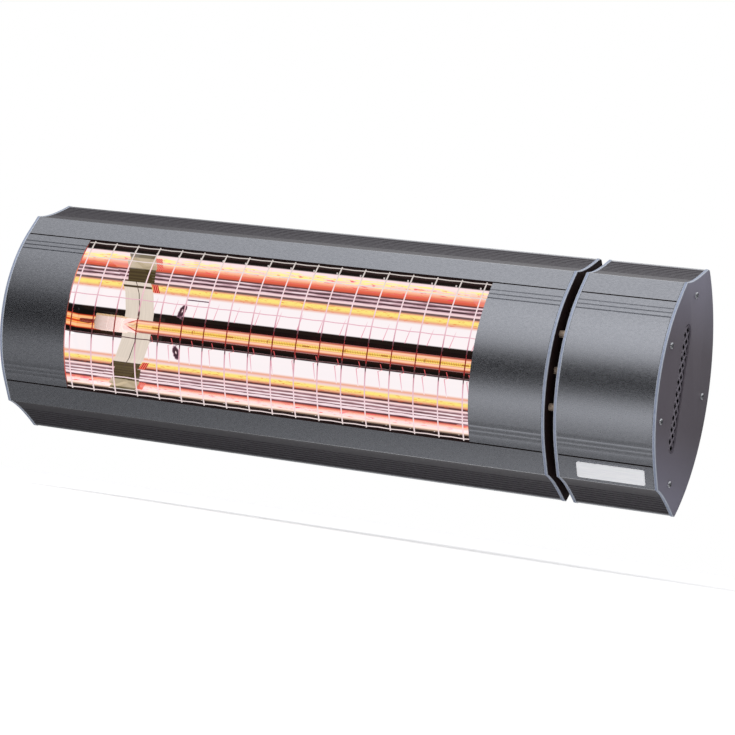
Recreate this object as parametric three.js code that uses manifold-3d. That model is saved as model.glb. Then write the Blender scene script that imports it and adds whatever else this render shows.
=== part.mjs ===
// Horizontal infrared patio heater on a tilting wall bracket.
// Millimetres. +X runs along the heater, -Y is its front and +Z is up. The origin is the middle
// of the bracket's back face, where it lies on the wall.
import * as THREE from 'three';
import { mergeVertices } from 'three/addons/utils/BufferGeometryUtils.js';
import Module from 'manifold-3d';

const wasm = await Module();
wasm.setup();

// Lengths along X
const bodyLength = 514;        // heating body, over its two end plates
const boxLength = 85.5;        // connection box, over its two end plates
const bodyGap = 7.5;           // air gap that keeps the body's heat out of the box
const windowInset = 66;        // from the body's ends to the opening in front of the lamp
const plateThickness = 3;
const plateChamfer = 0.8;
const plateOverhang = 0.4;     // how far an end plate stands out round the profile

// Housing profile, seen from the end. Depths run back from the front corners.
const sectionHeight = 200;
const cornerInset = 17.5;      // each front corner, inside the section's height
const seamInset = 16.5;        // each seam of the front panel, inside its corner
const seamDepth = -12;
const apexDepth = -33.3;       // foremost line of the curved front
const flankBendDepth = 16;     // pull of the hollow curve from corner to tip
const flankBendRise = 1.7;
const tipFrontDepth = 45;
const tipRearDepth = 51;
const tipChamfer = 1;
const rearApexDepth = 94;
const rearLandCut = 1;         // flat land that is taken off the round back
const housingWall = 2.4;
const ribCount = 7;            // fine grooves along each flank
const ribPitch = 4;
const ribWidth = 1.8;
const ribDepth = 0.9;

// Front panels and the lips that carry them
const panelThickness = 1.5;
const lipThickness = 1.5;
const lipLength = 4;
const seamGap = 0.7;
const panelGrooveCount = 3;
const panelGroovePitch = 4.1;
const panelGrooveStart = 8.4;  // from the seam to the first groove
const panelGrooveWidth = 0.9;
const panelGrooveDepth = 0.5;

// T-slot along the back
const slotMouth = 12;
const slotLip = 3;
const slotWidth = 22;
const slotDepth = 8;

// Reflector, from its centre channel outwards
const reflectorThickness = 1;
const leadLane = 6;            // room for a lead behind the channel
const channelDepth = 9.5;
const channelFloorHeight = 22;
const channelMouthHeight = 26;
const innerFacetReach = 6;
const middleFacetRise = 8.5;
const middleFacetReach = 7;
const flutedFacetRise = 12;
const flutedFacetReach = 14;
const fluteCount = 5;
const fluteDepth = 0.5;
const outerWallRise = 9.5;
const reflectorEdgeDepth = 2;
const reflectorEdgeInset = 6;  // below the seam
const flangeDepth = 5;
const flangeGap = 0.5;
const reflectorLeftRoom = 10;  // from the end plates to the reflector's two ends
const reflectorRightRoom = 34;

// Lamp and its holders
const lampInset = 44;          // from the body's ends to the lamp's ceramic caps
const lampFromFloor = 18.6;
const tubeRadius = 6;
const tubeWall = 1.2;
const coneLength = 5.5;
const coneEndRadius = 2.6;
const pinchLength = 13;
const pinchHeight = 3;
const pinchWidth = 9;
const capLength = 36;
const capSide = 14;
const filamentRadius = 1.2;
const supportCount = 15;
const supportWidth = 1.2;
const holderInset = 24;        // from the lamp's end to the holder strap
const holderWidth = 29;
const holderThickness = 0.8;
const holderFromEdge = 16;     // along the reflector's outer wall
const leadRadius = 1.5;
const leadStub = 11;           // straight lead behind a cap, before it turns
const leadStep = 9;            // spacing of the sections along a lead
const leadHeight = 4;          // of each lead, off the middle of the bush
const leadSlotHalf = 5.5;      // slot in the channel floor for the left lead

// Guard in front of the lamp
const guardWireRadius = 0.7;
const guardPitch = 21.85;
const guardInset = 0.8;        // wire centres behind the curved front
const guardRowPitch = 34;
const guardEdgeMargin = 1.2;

// Screws, ports, spacers and bush
const screwRadius = 1.5;
const screwHeadRadius = 2.7;
const screwHeadTopRadius = 2;
const screwHeadHeight = 1.4;
const screwLength = 9;
const portRadius = 3.6;
const portLength = 8;
const portWeb = 2.4;
const flankScrewDepth = 24.5;
const flankScrewInset = 13.5;  // from the flank's face
const frontScrewDepth = -19;
const frontScrewHeight = 30;
const rearScrewGap = 4.1;      // in front of the T-slot's boss
const spacerRadius = 3;
const spacerDepth = -19;
const spacerPitch = 29.3;
const bushRadius = 12;
const bushBore = 17;
const bushGap = 1.6;           // to the T-slot's boss
const bushFlange = 2.5;
const bushEnd = 1;             // how far the bush stands inside each plate

// Connection box
const ventDepth = 17.5;
const ventWidth = 17;
const ventLength = 104;
const ventSheet = 1.2;
const ventBarPitch = 8;
const ventBar = 2.8;
const ventRim = 3;
const badgeLength = 57;
const badgeHeight = 14;
const badgeThickness = 1;
const badgeCorner = 1;
const badgeShift = 4.3;        // towards the end of the box
const blockLength = 50;
const blockHeight = 32;
const blockDepth = 22;
const blockWays = 3;
const wellRadius = 2.5;
const wellDepth = 4;
const wellInset = 12.5;
const boardThickness = 1.6;
const boardDepth = 23;
const boardMargin = 5;
const boardRowHeight = 36;     // rows of parts above and below the board's middle
const boardPartGap = 8;
const relayLength = 28;
const relayHeight = 20;
const relayRise = 16;
const stripLength = 18;
const stripHeight = 28;
const stripRise = 12;
const sinkLength = 50;
const sinkHeight = 24;
const sinkRise = 9;
const canRadius = 6;
const canRise = 18;
const smallCanRadius = 4;
const smallCanRise = 12;
const glandHeight = -52;
const glandRadius = 8;
const glandBore = 7;
const glandFlangeRadius = 11.5;
const glandOutside = 22;
const glandInside = 9;
const glandCollar = 6;
const glandStep = 2;           // from the collar to the dome, and from the dome to its top
const glandNutHeight = 5;

// Wall bracket, yoke and their fasteners
const wallPlateWidth = 170;
const wallPlateHeight = 100;
const bracketSheet = 4;
const pivotFromWall = 39;
const pivotFromHeater = 28;
const earSpread = 100;         // over the outsides of the wall plate's ears
const earRootHeight = 60;
const earRadius = 14;
const wallHoleSpacingX = 140;
const wallHoleSpacingZ = 60;
const wallHoleRadius = 3.5;
const wallHoleLength = 16;
const yokeHeight = 32;
const yokeScrewSpacing = 44;
const pivotRadius = 4;
const pivotHeadRadius = 7;
const pivotHeadHeight = 5.5;
const pivotNutHeight = 6.5;
const pivotBoltTail = 4;       // thread behind the nut
const slotNutLength = 22;
const slotScrewRadius = 3;
const slotScrewHeadRadius = 5;
const slotScrewHeadHeight = 4;

// Clearances
const fit = 0.3;               // between pieces that rest on each other
const boreFit = 0.3;           // round a screw or pin in its hole
const seat = 0.1;              // between flat faces that are clamped together

// Values that follow from those above
const totalLength = bodyLength + bodyGap + boxLength;
const leftEnd = -totalLength / 2;
const bodyRight = leftEnd + bodyLength;
const boxLeft = bodyRight + bodyGap;
const rightEnd = boxLeft + boxLength;
const windowLeft = leftEnd + windowInset;
const windowRight = bodyRight - windowInset;
const halfHeight = sectionHeight / 2;
const halfCorner = halfHeight - cornerInset;
const halfSeam = halfCorner - seamInset;

const frontRise = seamDepth - apexDepth;
const frontRadius = (halfSeam ** 2 + frontRise ** 2) / (2 * frontRise);
const frontCentre = apexDepth + frontRadius;
const seamAngle = Math.asin(halfSeam / frontRadius);
const rearRise = rearApexDepth - tipRearDepth;
const rearRadius = (halfHeight ** 2 + rearRise ** 2) / (2 * rearRise);
const rearCentre = rearApexDepth - rearRadius;
const rearLandDepth = rearApexDepth - rearLandCut;
const rearLandAngle = Math.acos((rearLandDepth - rearCentre) / rearRadius);
const tipAngle = Math.asin(halfHeight / rearRadius);

const slotFloor = rearLandDepth - slotLip - slotDepth;
const bossFront = slotFloor - housingWall;
const bossHeight = slotWidth + 2 * housingWall;
const channelFloor = bossFront - leadLane - reflectorThickness;
const channelMouth = channelFloor - channelDepth;
const lampDepth = channelFloor - lampFromFloor;
const lampLeft = leftEnd + lampInset;
const lampRight = bodyRight - lampInset;
const reflectorLeft = leftEnd + plateThickness + reflectorLeftRoom;
const reflectorRight = bodyRight - plateThickness - reflectorRightRoom;
const rearScrewDepth = bossFront - rearScrewGap;
const bushDepth = bossFront - bushGap - bushRadius;
const pivotDepth = rearLandDepth + pivotFromHeater;
const heaterOffset = -(pivotDepth + pivotFromWall);

const finish = {
  anodised: { color: 0x5b5f67, roughness: 0.42, metalness: 0.8 },
  plate: { color: 0x5f5a62, roughness: 0.45, metalness: 0.7 },
  mirror: { color: 0xe6dccf, roughness: 0.12, metalness: 1 },
  steel: { color: 0xc4c7cb, roughness: 0.3, metalness: 1 },
  quartz: { color: 0xf6e3cf, roughness: 0.05, metalness: 0 },
  glow: { color: 0xffb347, roughness: 0.6, metalness: 0 },
  ceramic: { color: 0xd9d3c3, roughness: 0.75, metalness: 0 },
  holder: { color: 0xb9b39d, roughness: 0.4, metalness: 0.9 },
  plastic: { color: 0x232327, roughness: 0.55, metalness: 0 },
  silicone: { color: 0xb6402c, roughness: 0.7, metalness: 0 },
  board: { color: 0x24603c, roughness: 0.6, metalness: 0 },
  badge: { color: 0xdfe2e6, roughness: 0.3, metalness: 0.6 },
  powder: { color: 0x3a3b40, roughness: 0.6, metalness: 0.1 },
};

const point = (depth, height) => new THREE.Vector2(depth, height);
const mirrored = (points) => points.map((p) => point(p.x, -p.y)).reverse();

// Turns a section drawn as (depth, height) so that it is extruded along X.
const sectionToModel = new THREE.Matrix4().makeBasis(
  new THREE.Vector3(0, 1, 0),
  new THREE.Vector3(0, 0, 1),
  new THREE.Vector3(1, 0, 0),
);

function node(name, geometry, surface) {
  const mesh = new THREE.Mesh(geometry, new THREE.MeshStandardMaterial(surface));
  mesh.name = name;
  return mesh;
}

function solidOf(geometry) {
  const bare = geometry.clone();
  bare.deleteAttribute('normal');
  bare.deleteAttribute('uv');
  const merged = mergeVertices(bare, 1e-4);
  return new wasm.Manifold(new wasm.Mesh({
    numProp: 3,
    vertProperties: merged.attributes.position.array,
    triVerts: new Uint32Array(merged.index.array),
  }));
}

function geometryOf(solid) {
  const mesh = solid.getMesh();
  const geometry = new THREE.BufferGeometry();
  geometry.setAttribute('position', new THREE.BufferAttribute(mesh.vertProperties, 3));
  geometry.setIndex(new THREE.BufferAttribute(mesh.triVerts, 1));
  return geometry;
}

function join(geometries) {
  return geometryOf(geometries.map(solidOf).reduce((all, next) => all.add(next)));
}

function cut(geometry, tools) {
  return geometryOf(tools.map(solidOf).reduce((rest, tool) => rest.subtract(tool), solidOf(geometry)));
}

function alongX(outline, from, to, holes = []) {
  const shape = new THREE.Shape(outline);
  shape.holes = holes.map((hole) => new THREE.Path(hole));
  const geometry = new THREE.ExtrudeGeometry(shape, { depth: to - from, bevelEnabled: false });
  return geometry.applyMatrix4(sectionToModel).translate(from, 0, 0);
}

function block(x, y, z) {
  return new THREE.BoxGeometry(x[1] - x[0], y[1] - y[0], z[1] - z[0])
    .translate((x[0] + x[1]) / 2, (y[0] + y[1]) / 2, (z[0] + z[1]) / 2);
}

function roundAlongX(radius, from, to, depth, height, sides = 16) {
  return new THREE.CylinderGeometry(radius, radius, to - from, sides)
    .rotateZ(-Math.PI / 2)
    .translate((from + to) / 2, depth, height);
}

function roundAlongY(radius, from, to, x, height, sides = 16) {
  return new THREE.CylinderGeometry(radius, radius, to - from, sides)
    .translate(x, (from + to) / 2, height);
}

// A lathe whose profile is (radius, position along X).
function turnedAlongX(profile, depth, height, sides) {
  return new THREE.LatheGeometry(profile.map(([radius, x]) => point(radius, x)), sides)
    .rotateZ(-Math.PI / 2)
    .translate(0, depth, height);
}

// Moves a line or a loop sideways, to the left as it is walked.
function offsetLine(points, distance, closed = false) {
  const last = points.length - 1;
  const normal = (a, b) => {
    const step = b.clone().sub(a).normalize();
    return point(-step.y, step.x);
  };
  return points.map((p, i) => {
    const hasBefore = closed || i > 0;
    const hasAfter = closed || i < last;
    const before = hasBefore ? normal(points[i > 0 ? i - 1 : last], p) : null;
    const after = hasAfter ? normal(p, points[i < last ? i + 1 : 0]) : null;
    const first = before ?? after;
    const second = after ?? before;
    const miter = first.clone().add(second).divideScalar(1 + first.dot(second));
    return p.clone().addScaledVector(miter, distance);
  });
}

function sheet(line, thickness) {
  return [...line, ...offsetLine(line, thickness).reverse()];
}

function circle(radius, depth, height, sides = 20) {
  return Array.from({ length: sides }, (_, i) => {
    const angle = (i / sides) * 2 * Math.PI;
    return point(depth + radius * Math.cos(angle), height + radius * Math.sin(angle));
  });
}

// Points on the curved front, inset from its surface, between two angles above the middle.
function frontArc(inset, from, to, steps) {
  return Array.from({ length: steps + 1 }, (_, i) => {
    const angle = from + (i / steps) * (to - from);
    const radius = frontRadius - inset;
    return point(frontCentre - radius * Math.cos(angle), radius * Math.sin(angle));
  });
}

function rearArc(inset, from, to, steps) {
  return Array.from({ length: steps + 1 }, (_, i) => {
    const angle = from + (i / steps) * (to - from);
    const radius = rearRadius - inset;
    return point(rearCentre + radius * Math.cos(angle), radius * Math.sin(angle));
  });
}

const corner = point(0, halfCorner);
const seamPoint = point(seamDepth, halfSeam);
const railStep = seamPoint.clone().sub(corner).normalize();
const railNormal = point(railStep.y, -railStep.x);
const tipFront = point(tipFrontDepth, halfHeight - tipChamfer);
const flank = new THREE.QuadraticBezierCurve(
  tipFront,
  point(flankBendDepth, halfCorner + flankBendRise),
  corner,
);

function flankNormal(share) {
  const along = flank.getTangentAt(share);
  return point(along.y, -along.x);
}

// Height of the flank's face at a depth, from the curve's quadratic.
function flankHeight(depth) {
  const { v0: start, v1: pull, v2: end } = flank;
  const square = start.x - 2 * pull.x + end.x;
  const linear = 2 * (start.x - pull.x);
  const rest = start.x - depth;
  return flank.getPoint(2 * rest / (linear + Math.sqrt(linear ** 2 - 4 * square * rest))).y;
}

const flankScrewHeight = flankHeight(flankScrewDepth) - flankScrewInset;

// The flank from tip to corner, with a V groove for each rib.
function ribbedFlank() {
  const length = flank.getLength();
  const line = [tipFront];
  for (let rib = 0; rib < ribCount; rib += 1) {
    const middle = ribPitch * (rib + 0.75);
    for (const [shift, depth] of [[-ribWidth / 2, 0], [0, ribDepth], [ribWidth / 2, 0]]) {
      const share = (middle + shift) / length;
      line.push(flank.getPointAt(share).addScaledVector(flankNormal(share), -depth));
    }
  }
  const smoothStart = (ribPitch * (ribCount + 0.5)) / length;
  for (let step = 0; step < 4; step += 1) {
    line.push(flank.getPointAt(smoothStart + (step / 4) * (1 - smoothStart)));
  }
  return [...line, corner];
}

// Outline of an end plate: the whole section with smooth flanks.
function plateOutline() {
  const upper = [
    ...rearArc(0, 0, tipAngle, 10),
    point(tipFrontDepth + 2 * tipChamfer, halfHeight),
    ...flank.getSpacedPoints(6),
    ...frontArc(0, seamAngle, 0, 10).slice(0, -1),
  ];
  const loop = [...upper, point(apexDepth, 0), ...mirrored(upper).slice(0, -1)];
  return offsetLine(loop, -plateOverhang, true);
}

// The profile of both housings: open at the front between the seams, T-slot at the back.
function housingSection() {
  const lipFace = panelThickness + fit;
  const lipBack = lipFace + lipThickness;
  const seamStep = seamPoint.clone().addScaledVector(railNormal, -lipFace);
  const lipEnd = seamStep.clone().addScaledVector(railStep, lipLength);
  const outer = [
    point(slotFloor, slotWidth / 2),
    point(rearLandDepth - slotLip, slotWidth / 2),
    point(rearLandDepth - slotLip, slotMouth / 2),
    point(rearLandDepth, slotMouth / 2),
    ...rearArc(0, rearLandAngle, tipAngle, 12),
    point(tipFrontDepth + 2 * tipChamfer, halfHeight),
    ...ribbedFlank(),
    seamPoint,
    seamStep,
    lipEnd,
    lipEnd.clone().addScaledVector(railNormal, -lipThickness),
    corner.clone().addScaledVector(railNormal, -lipBack),
  ];
  const innerFlank = [0.8, 0.6, 0.4, 0.2, 0.1].map((share) => (
    flank.getPointAt(share).addScaledVector(flankNormal(share), -housingWall)
  ));
  const bossAngle = Math.asin(bossHeight / 2 / (rearRadius - housingWall));
  const inner = [
    ...innerFlank,
    ...rearArc(housingWall, tipAngle * 0.97, bossAngle, 8),
    point(bossFront, bossHeight / 2),
  ];
  const upper = [...outer, ...inner];
  return [...upper, ...mirrored(upper)];
}

// Bar that takes a flank screw, with its web to the flank, along the whole housing.
function flankPort(side, from, to) {
  const web = [flankScrewHeight, flankHeight(flankScrewDepth) - housingWall / 2];
  return [
    roundAlongX(portRadius, from, to, flankScrewDepth, side * flankScrewHeight, 12),
    block([from, to], [flankScrewDepth - portWeb / 2, flankScrewDepth + portWeb / 2],
      side > 0 ? web : [-web[1], -web[0]]),
  ];
}

// Where an end plate's five screws sit, as (depth, height).
const screwPlaces = [
  point(flankScrewDepth, flankScrewHeight),
  point(frontScrewDepth, frontScrewHeight),
  point(rearScrewDepth, 0),
  point(frontScrewDepth, -frontScrewHeight),
  point(flankScrewDepth, -flankScrewHeight),
];

function housing(from, to, plateAt, inward) {
  const stub = plateAt + inward * portLength;
  const portSpan = [Math.min(plateAt, stub), Math.max(plateAt, stub)];
  const drillEnd = plateAt + inward * (screwLength + 1);
  const drillSpan = [Math.min(plateAt - inward, drillEnd), Math.max(plateAt - inward, drillEnd)];
  const shell = join([
    alongX(housingSection(), from, to),
    ...flankPort(1, from, to),
    ...flankPort(-1, from, to),
    block(portSpan, [rearScrewDepth - portRadius, bossFront + fit], [-portRadius, portRadius]),
  ]);
  const drills = [screwPlaces[0], screwPlaces[2], screwPlaces[4]].map((place) => (
    roundAlongX(screwRadius + boreFit, ...drillSpan, place.x, place.y, 8)
  ));
  return cut(shell, drills);
}

function frontPanel(from, to, plateAt, inward) {
  const edge = seamAngle - seamGap / frontRadius;
  const outer = [];
  const addGrooves = (sign) => {
    for (let i = 0; i < panelGrooveCount; i += 1) {
      const order = sign > 0 ? i : panelGrooveCount - 1 - i;
      const middle = seamAngle - (panelGrooveStart + order * panelGroovePitch) / frontRadius;
      const half = panelGrooveWidth / 2 / frontRadius;
      for (const [shift, depth] of [[half, 0], [0, panelGrooveDepth], [-half, 0]]) {
        const angle = sign > 0 ? middle + shift : -middle + shift;
        outer.push(...frontArc(depth, angle, angle, 1).slice(0, 1));
      }
    }
  };
  const plain = seamAngle
    - (panelGrooveStart + panelGrooveCount * panelGroovePitch) / frontRadius;
  outer.push(...frontArc(0, edge, edge, 1).slice(0, 1));
  addGrooves(1);
  outer.push(...frontArc(0, plain, -plain, 16));
  addGrooves(-1);
  outer.push(...frontArc(0, -edge, -edge, 1).slice(0, 1));
  const section = [...outer, ...frontArc(panelThickness, -edge, edge, 16)];
  const stub = plateAt + inward * portLength;
  const portSpan = [Math.min(plateAt, stub), Math.max(plateAt, stub)];
  const drillEnd = stub - inward;
  const drillSpan = [Math.min(plateAt - inward, drillEnd), Math.max(plateAt - inward, drillEnd)];
  const ports = [1, -1].flatMap((side) => {
    const height = side * frontScrewHeight;
    const skin = frontCentre - Math.sqrt((frontRadius - panelThickness) ** 2 - height ** 2);
    return [
      roundAlongX(portRadius, ...portSpan, frontScrewDepth, height, 12),
      block(portSpan, [skin - panelThickness / 3, frontScrewDepth],
        [height - portWeb / 2, height + portWeb / 2]),
    ];
  });
  const drills = [1, -1].map((side) => (
    roundAlongX(screwRadius + boreFit, ...drillSpan, frontScrewDepth, side * frontScrewHeight, 8)
  ));
  return cut(join([alongX(section, from, to), ...ports]), drills);
}

// End plate with chamfered edges; holes are loops of (depth, height).
function endPlate(from, holes) {
  const shape = new THREE.Shape(plateOutline());
  shape.holes = holes.map((hole) => new THREE.Path(hole));
  return new THREE.ExtrudeGeometry(shape, {
    depth: plateThickness - 2 * plateChamfer,
    bevelEnabled: true,
    bevelThickness: plateChamfer,
    bevelSize: plateChamfer,
    bevelOffset: -plateChamfer,
    bevelSegments: 1,
  }).applyMatrix4(sectionToModel).translate(from + plateChamfer, 0, 0);
}

const screwHoles = () => screwPlaces.map((p) => circle(screwRadius + boreFit, p.x, p.y, 8));
const spacerHeights = [spacerPitch, 0, -spacerPitch];
const bushHole = () => circle(bushRadius + boreFit, bushDepth, 0, 24);

function slotLoop(depth, length, width) {
  const radius = width / 2;
  const reach = length / 2 - radius;
  const round = (sign) => Array.from({ length: 9 }, (_, i) => {
    const angle = (i / 8) * Math.PI;
    return point(depth + sign * radius * Math.cos(angle), sign * (reach + radius * Math.sin(angle)));
  });
  return [...round(1), ...round(-1)];
}

// Half of the reflector's bright line, from the flange by the rail to the channel floor.
const reflectorHalf = (() => {
  const edge = point(reflectorEdgeDepth, halfSeam - reflectorEdgeInset);
  const mouth = point(channelMouth, channelMouthHeight / 2);
  const innerDepth = channelMouth - innerFacetReach;
  const middleDepth = innerDepth - middleFacetReach;
  const fluted = point(middleDepth - flutedFacetReach, edge.y - outerWallRise);
  const middle = point(middleDepth, fluted.y - flutedFacetRise);
  const inner = point(innerDepth, middle.y - middleFacetRise);
  const flangeEnd = point(flangeDepth, halfCorner + flankBendRise * flangeDepth / flankBendDepth
    - housingWall - flangeGap);
  return { mouth, inner, middle, fluted, edge, flangeEnd };
})();

function flutes(from, to) {
  const step = to.clone().sub(from).divideScalar(2 * fluteCount);
  const forward = point(step.y, -step.x).normalize();
  return Array.from({ length: 2 * fluteCount - 1 }, (_, i) => {
    const p = from.clone().addScaledVector(step, i + 1);
    return i % 2 === 0 ? p.addScaledVector(forward, fluteDepth) : p;
  });
}

function reflectorLine() {
  const half = reflectorHalf;
  const upper = [
    half.flangeEnd,
    half.edge,
    half.fluted,
    ...flutes(half.fluted, half.middle),
    half.middle,
    half.inner,
    half.mouth,
    point(channelFloor, channelFloorHeight / 2),
  ];
  return [...upper, ...mirrored(upper)];
}

// The left lead turns back on a half circle and passes through the channel floor.
const leadTurnX = lampLeft - leadStub;
const leadTurnRadius = (bossFront - leadLane / 2 - lampDepth) / 2;
const leadFloorX = (() => {
  const above = channelFloor + reflectorThickness / 2 - lampDepth - leadTurnRadius;
  return leadTurnX - Math.sqrt(leadTurnRadius ** 2 - above ** 2);
})();

function reflector() {
  const trough = alongX(sheet(reflectorLine(), reflectorThickness), reflectorLeft, reflectorRight);
  return cut(trough, [
    block([leadFloorX - leadSlotHalf, leadFloorX + leadSlotHalf],
      [channelFloor - reflectorThickness, channelFloor + 2 * reflectorThickness],
      [-2 * leadRadius, 2 * leadRadius]),
  ]);
}

function reflectorEnd(from, holes) {
  const half = reflectorHalf;
  const upper = [
    half.edge,
    half.fluted,
    half.middle,
    half.inner,
    half.mouth,
    point(channelFloor, channelFloorHeight / 2),
  ];
  const outline = offsetLine([...upper, ...mirrored(upper)], reflectorThickness / 2);
  return alongX(outline, from, from + reflectorThickness, holes);
}

function holderStrap(from) {
  const half = reflectorHalf;
  const wall = half.fluted.clone().sub(half.edge).setLength(holderFromEdge);
  const start = half.edge.clone().add(wall);
  const upper = [start, half.fluted, half.middle, half.inner, half.mouth];
  const line = offsetLine([...upper, ...mirrored(upper)], -(fluteDepth + fit));
  return alongX(sheet(line, -holderThickness), from, from + holderWidth);
}

// The quartz end narrows to a flat pinch that stands in the cap's slot.
function lampSeal(side) {
  const capEnd = side < 0 ? lampLeft + capLength : lampRight - capLength;
  const wide = capEnd - side * (coneLength + fit);
  const narrow = capEnd - side * fit;
  const pinchEnd = capEnd + side * pinchLength;
  const profile = side < 0
    ? [[0, narrow], [coneEndRadius, narrow], [tubeRadius, wide], [0, wide]]
    : [[0, wide], [tubeRadius, wide], [coneEndRadius, narrow], [0, narrow]];
  return join([
    turnedAlongX(profile, lampDepth, 0, 16),
    block([Math.min(narrow - side, pinchEnd), Math.max(narrow - side, pinchEnd)],
      [lampDepth - pinchWidth / 2, lampDepth + pinchWidth / 2],
      [-pinchHeight / 2, pinchHeight / 2]),
  ]);
}

function lampCap(side) {
  const from = side < 0 ? lampLeft : lampRight - capLength;
  const mouth = side < 0 ? from + capLength : from;
  const slotEnd = mouth + side * (pinchLength + 1);
  const half = capSide / 2;
  const bevel = 1.5;
  const outline = [
    point(-half, -half + bevel), point(-half + bevel, -half),
    point(half - bevel, -half), point(half, -half + bevel),
    point(half, half - bevel), point(half - bevel, half),
    point(-half + bevel, half), point(-half, half - bevel),
  ].map((p) => point(p.x + lampDepth, p.y));
  return cut(alongX(outline, from, from + capLength), [
    block([Math.min(mouth - side, slotEnd), Math.max(mouth - side, slotEnd)],
      [lampDepth - pinchWidth / 2 - fit, lampDepth + pinchWidth / 2 + fit],
      [-pinchHeight / 2 - fit, pinchHeight / 2 + fit]),
  ]);
}

const tubeLeft = lampLeft + capLength + coneLength + 2 * fit;
const tubeRight = lampRight - capLength - coneLength - 2 * fit;

function filament() {
  const left = tubeLeft + fit;
  const right = tubeRight - fit;
  const supportRadius = tubeRadius - tubeWall - fit;
  const pitch = (right - left) / supportCount;
  const profile = [[0, left], [filamentRadius, left]];
  for (let i = 0; i < supportCount; i += 1) {
    const middle = left + pitch * (i + 0.5);
    profile.push(
      [filamentRadius, middle - supportWidth],
      [supportRadius, middle],
      [filamentRadius, middle + supportWidth],
    );
  }
  profile.push([filamentRadius, right], [0, right]);
  return turnedAlongX(profile, lampDepth, 0, 6);
}

function lead(points) {
  const places = points.map((p) => new THREE.Vector3(...p));
  const curve = new THREE.CatmullRomCurve3(places, false, 'centripetal');
  const section = new THREE.Shape(circle(leadRadius, 0, 0, 6));
  const steps = Math.ceil(curve.getLength() / leadStep);
  return new THREE.ExtrudeGeometry(section, { steps, bevelEnabled: false, extrudePath: curve });
}

const blockLeft = boxLeft + (boxLength - blockLength) / 2;
const leadEnds = (height) => [
  [bodyRight - 2 * plateThickness, bushDepth, height],
  [boxLeft + 2 * plateThickness, bushDepth, height],
  [blockLeft - fit, bushDepth, height],
];

function leftLead() {
  const turnCentre = lampDepth + leadTurnRadius;
  const lane = lampDepth + 2 * leadTurnRadius;
  const turn = [0.15, 0.35, 0.5, 0.65, 0.85].map((share) => [
    leadTurnX - leadTurnRadius * Math.sin(share * Math.PI),
    turnCentre - leadTurnRadius * Math.cos(share * Math.PI),
    0,
  ]);
  return lead([
    [lampLeft - fit, lampDepth, 0],
    [leadTurnX, lampDepth, 0],
    ...turn,
    [leadTurnX, lane, 0],
    [leadTurnX + leadStub, lane, 0],
    [(lampLeft + lampRight) / 2, lane, 0],
    [reflectorRight - leadStub, lane, 0],
    [reflectorRight, lane, 0],
    [reflectorRight + reflectorRightRoom / 2, (lane + bushDepth) / 2, -leadHeight / 2],
    ...leadEnds(-leadHeight),
  ]);
}

function rightLead() {
  return lead([
    [lampRight + fit, lampDepth, 0],
    [reflectorRight + 2 * reflectorThickness, lampDepth, 0],
    [reflectorRight + reflectorRightRoom / 2, (lampDepth + bushDepth) / 2, leadHeight / 2],
    ...leadEnds(leadHeight),
  ]);
}

// One wire bent along the curved front.
function guardUpright(x) {
  const reach = seamAngle - (guardWireRadius + guardEdgeMargin / 2) / frontRadius;
  const half = guardWireRadius;
  const ring = [[-half, 0], [0, half], [half, 0], [0, -half]];
  const steps = 8;
  const outline = (inset) => frontArc(guardInset + inset, -reach, reach, steps);
  const layers = ring.map(([across, inset]) => (
    outline(inset).map((p) => [x + across, p.x, p.y])
  ));
  const positions = layers.flat(2);
  const stride = steps + 1;
  const index = [];
  for (let side = 0; side < ring.length; side += 1) {
    const next = (side + 1) % ring.length;
    for (let i = 0; i < steps; i += 1) {
      const a = side * stride + i;
      const b = next * stride + i;
      index.push(a, a + 1, b, b, a + 1, b + 1);
    }
  }
  index.push(0, stride, 2 * stride, 0, 2 * stride, 3 * stride);
  index.push(steps, stride + steps + stride, steps + stride, steps, steps + 3 * stride, steps + 2 * stride);
  const geometry = new THREE.BufferGeometry();
  geometry.setAttribute('position', new THREE.Float32BufferAttribute(positions, 3));
  geometry.setIndex(index);
  return geometry;
}

function guardRow(height) {
  const angle = Math.asin(height / frontRadius);
  const [centre] = frontArc(guardInset, angle, angle, 1);
  return roundAlongX(guardWireRadius, windowLeft + fit, windowRight - fit, centre.x, centre.y, 4);
}

function guardGrille() {
  const windowLength = windowRight - windowLeft;
  const count = Math.floor((windowLength - 2 * fit) / guardPitch) + 1;
  const first = windowLeft + (windowLength - (count - 1) * guardPitch) / 2;
  const uprights = Array.from({ length: count }, (_, i) => guardUpright(first + i * guardPitch));
  const edge = halfSeam - guardWireRadius - guardEdgeMargin;
  const rows = [edge, guardRowPitch / 2].flatMap((h) => [guardRow(h), guardRow(-h)]);
  return join([...uprights, ...rows]);
}

// Screw along X; outward is the side its head faces.
function plateScrew(face, outward, place) {
  const head = face + outward * (screwHeadHeight + seat);
  const under = face + outward * seat;
  const end = face - outward * screwLength;
  const profile = [
    [0, end], [screwRadius, end], [screwRadius, under],
    [screwHeadRadius, under], [screwHeadTopRadius, head], [0, head],
  ];
  return turnedAlongX(outward > 0 ? profile : profile.reverse(), place.x, place.y, 8);
}

function ventGrid() {
  const outline = slotLoop(ventDepth, ventLength + 2 * ventRim, ventWidth + 2 * ventRim);
  const count = Math.floor((ventLength - ventRim) / ventBarPitch);
  const holes = Array.from({ length: count }, (_, i) => {
    const middle = (i - (count - 1) / 2) * ventBarPitch;
    const high = (ventBarPitch - ventBar) / 2;
    const wide = ventWidth / 2 - ventRim;
    return [
      point(ventDepth - wide, middle - high), point(ventDepth + wide, middle - high),
      point(ventDepth + wide, middle + high), point(ventDepth - wide, middle + high),
    ];
  });
  const right = rightEnd - plateThickness - seat;
  return alongX(outline, right - ventSheet, right, holes);
}

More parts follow.
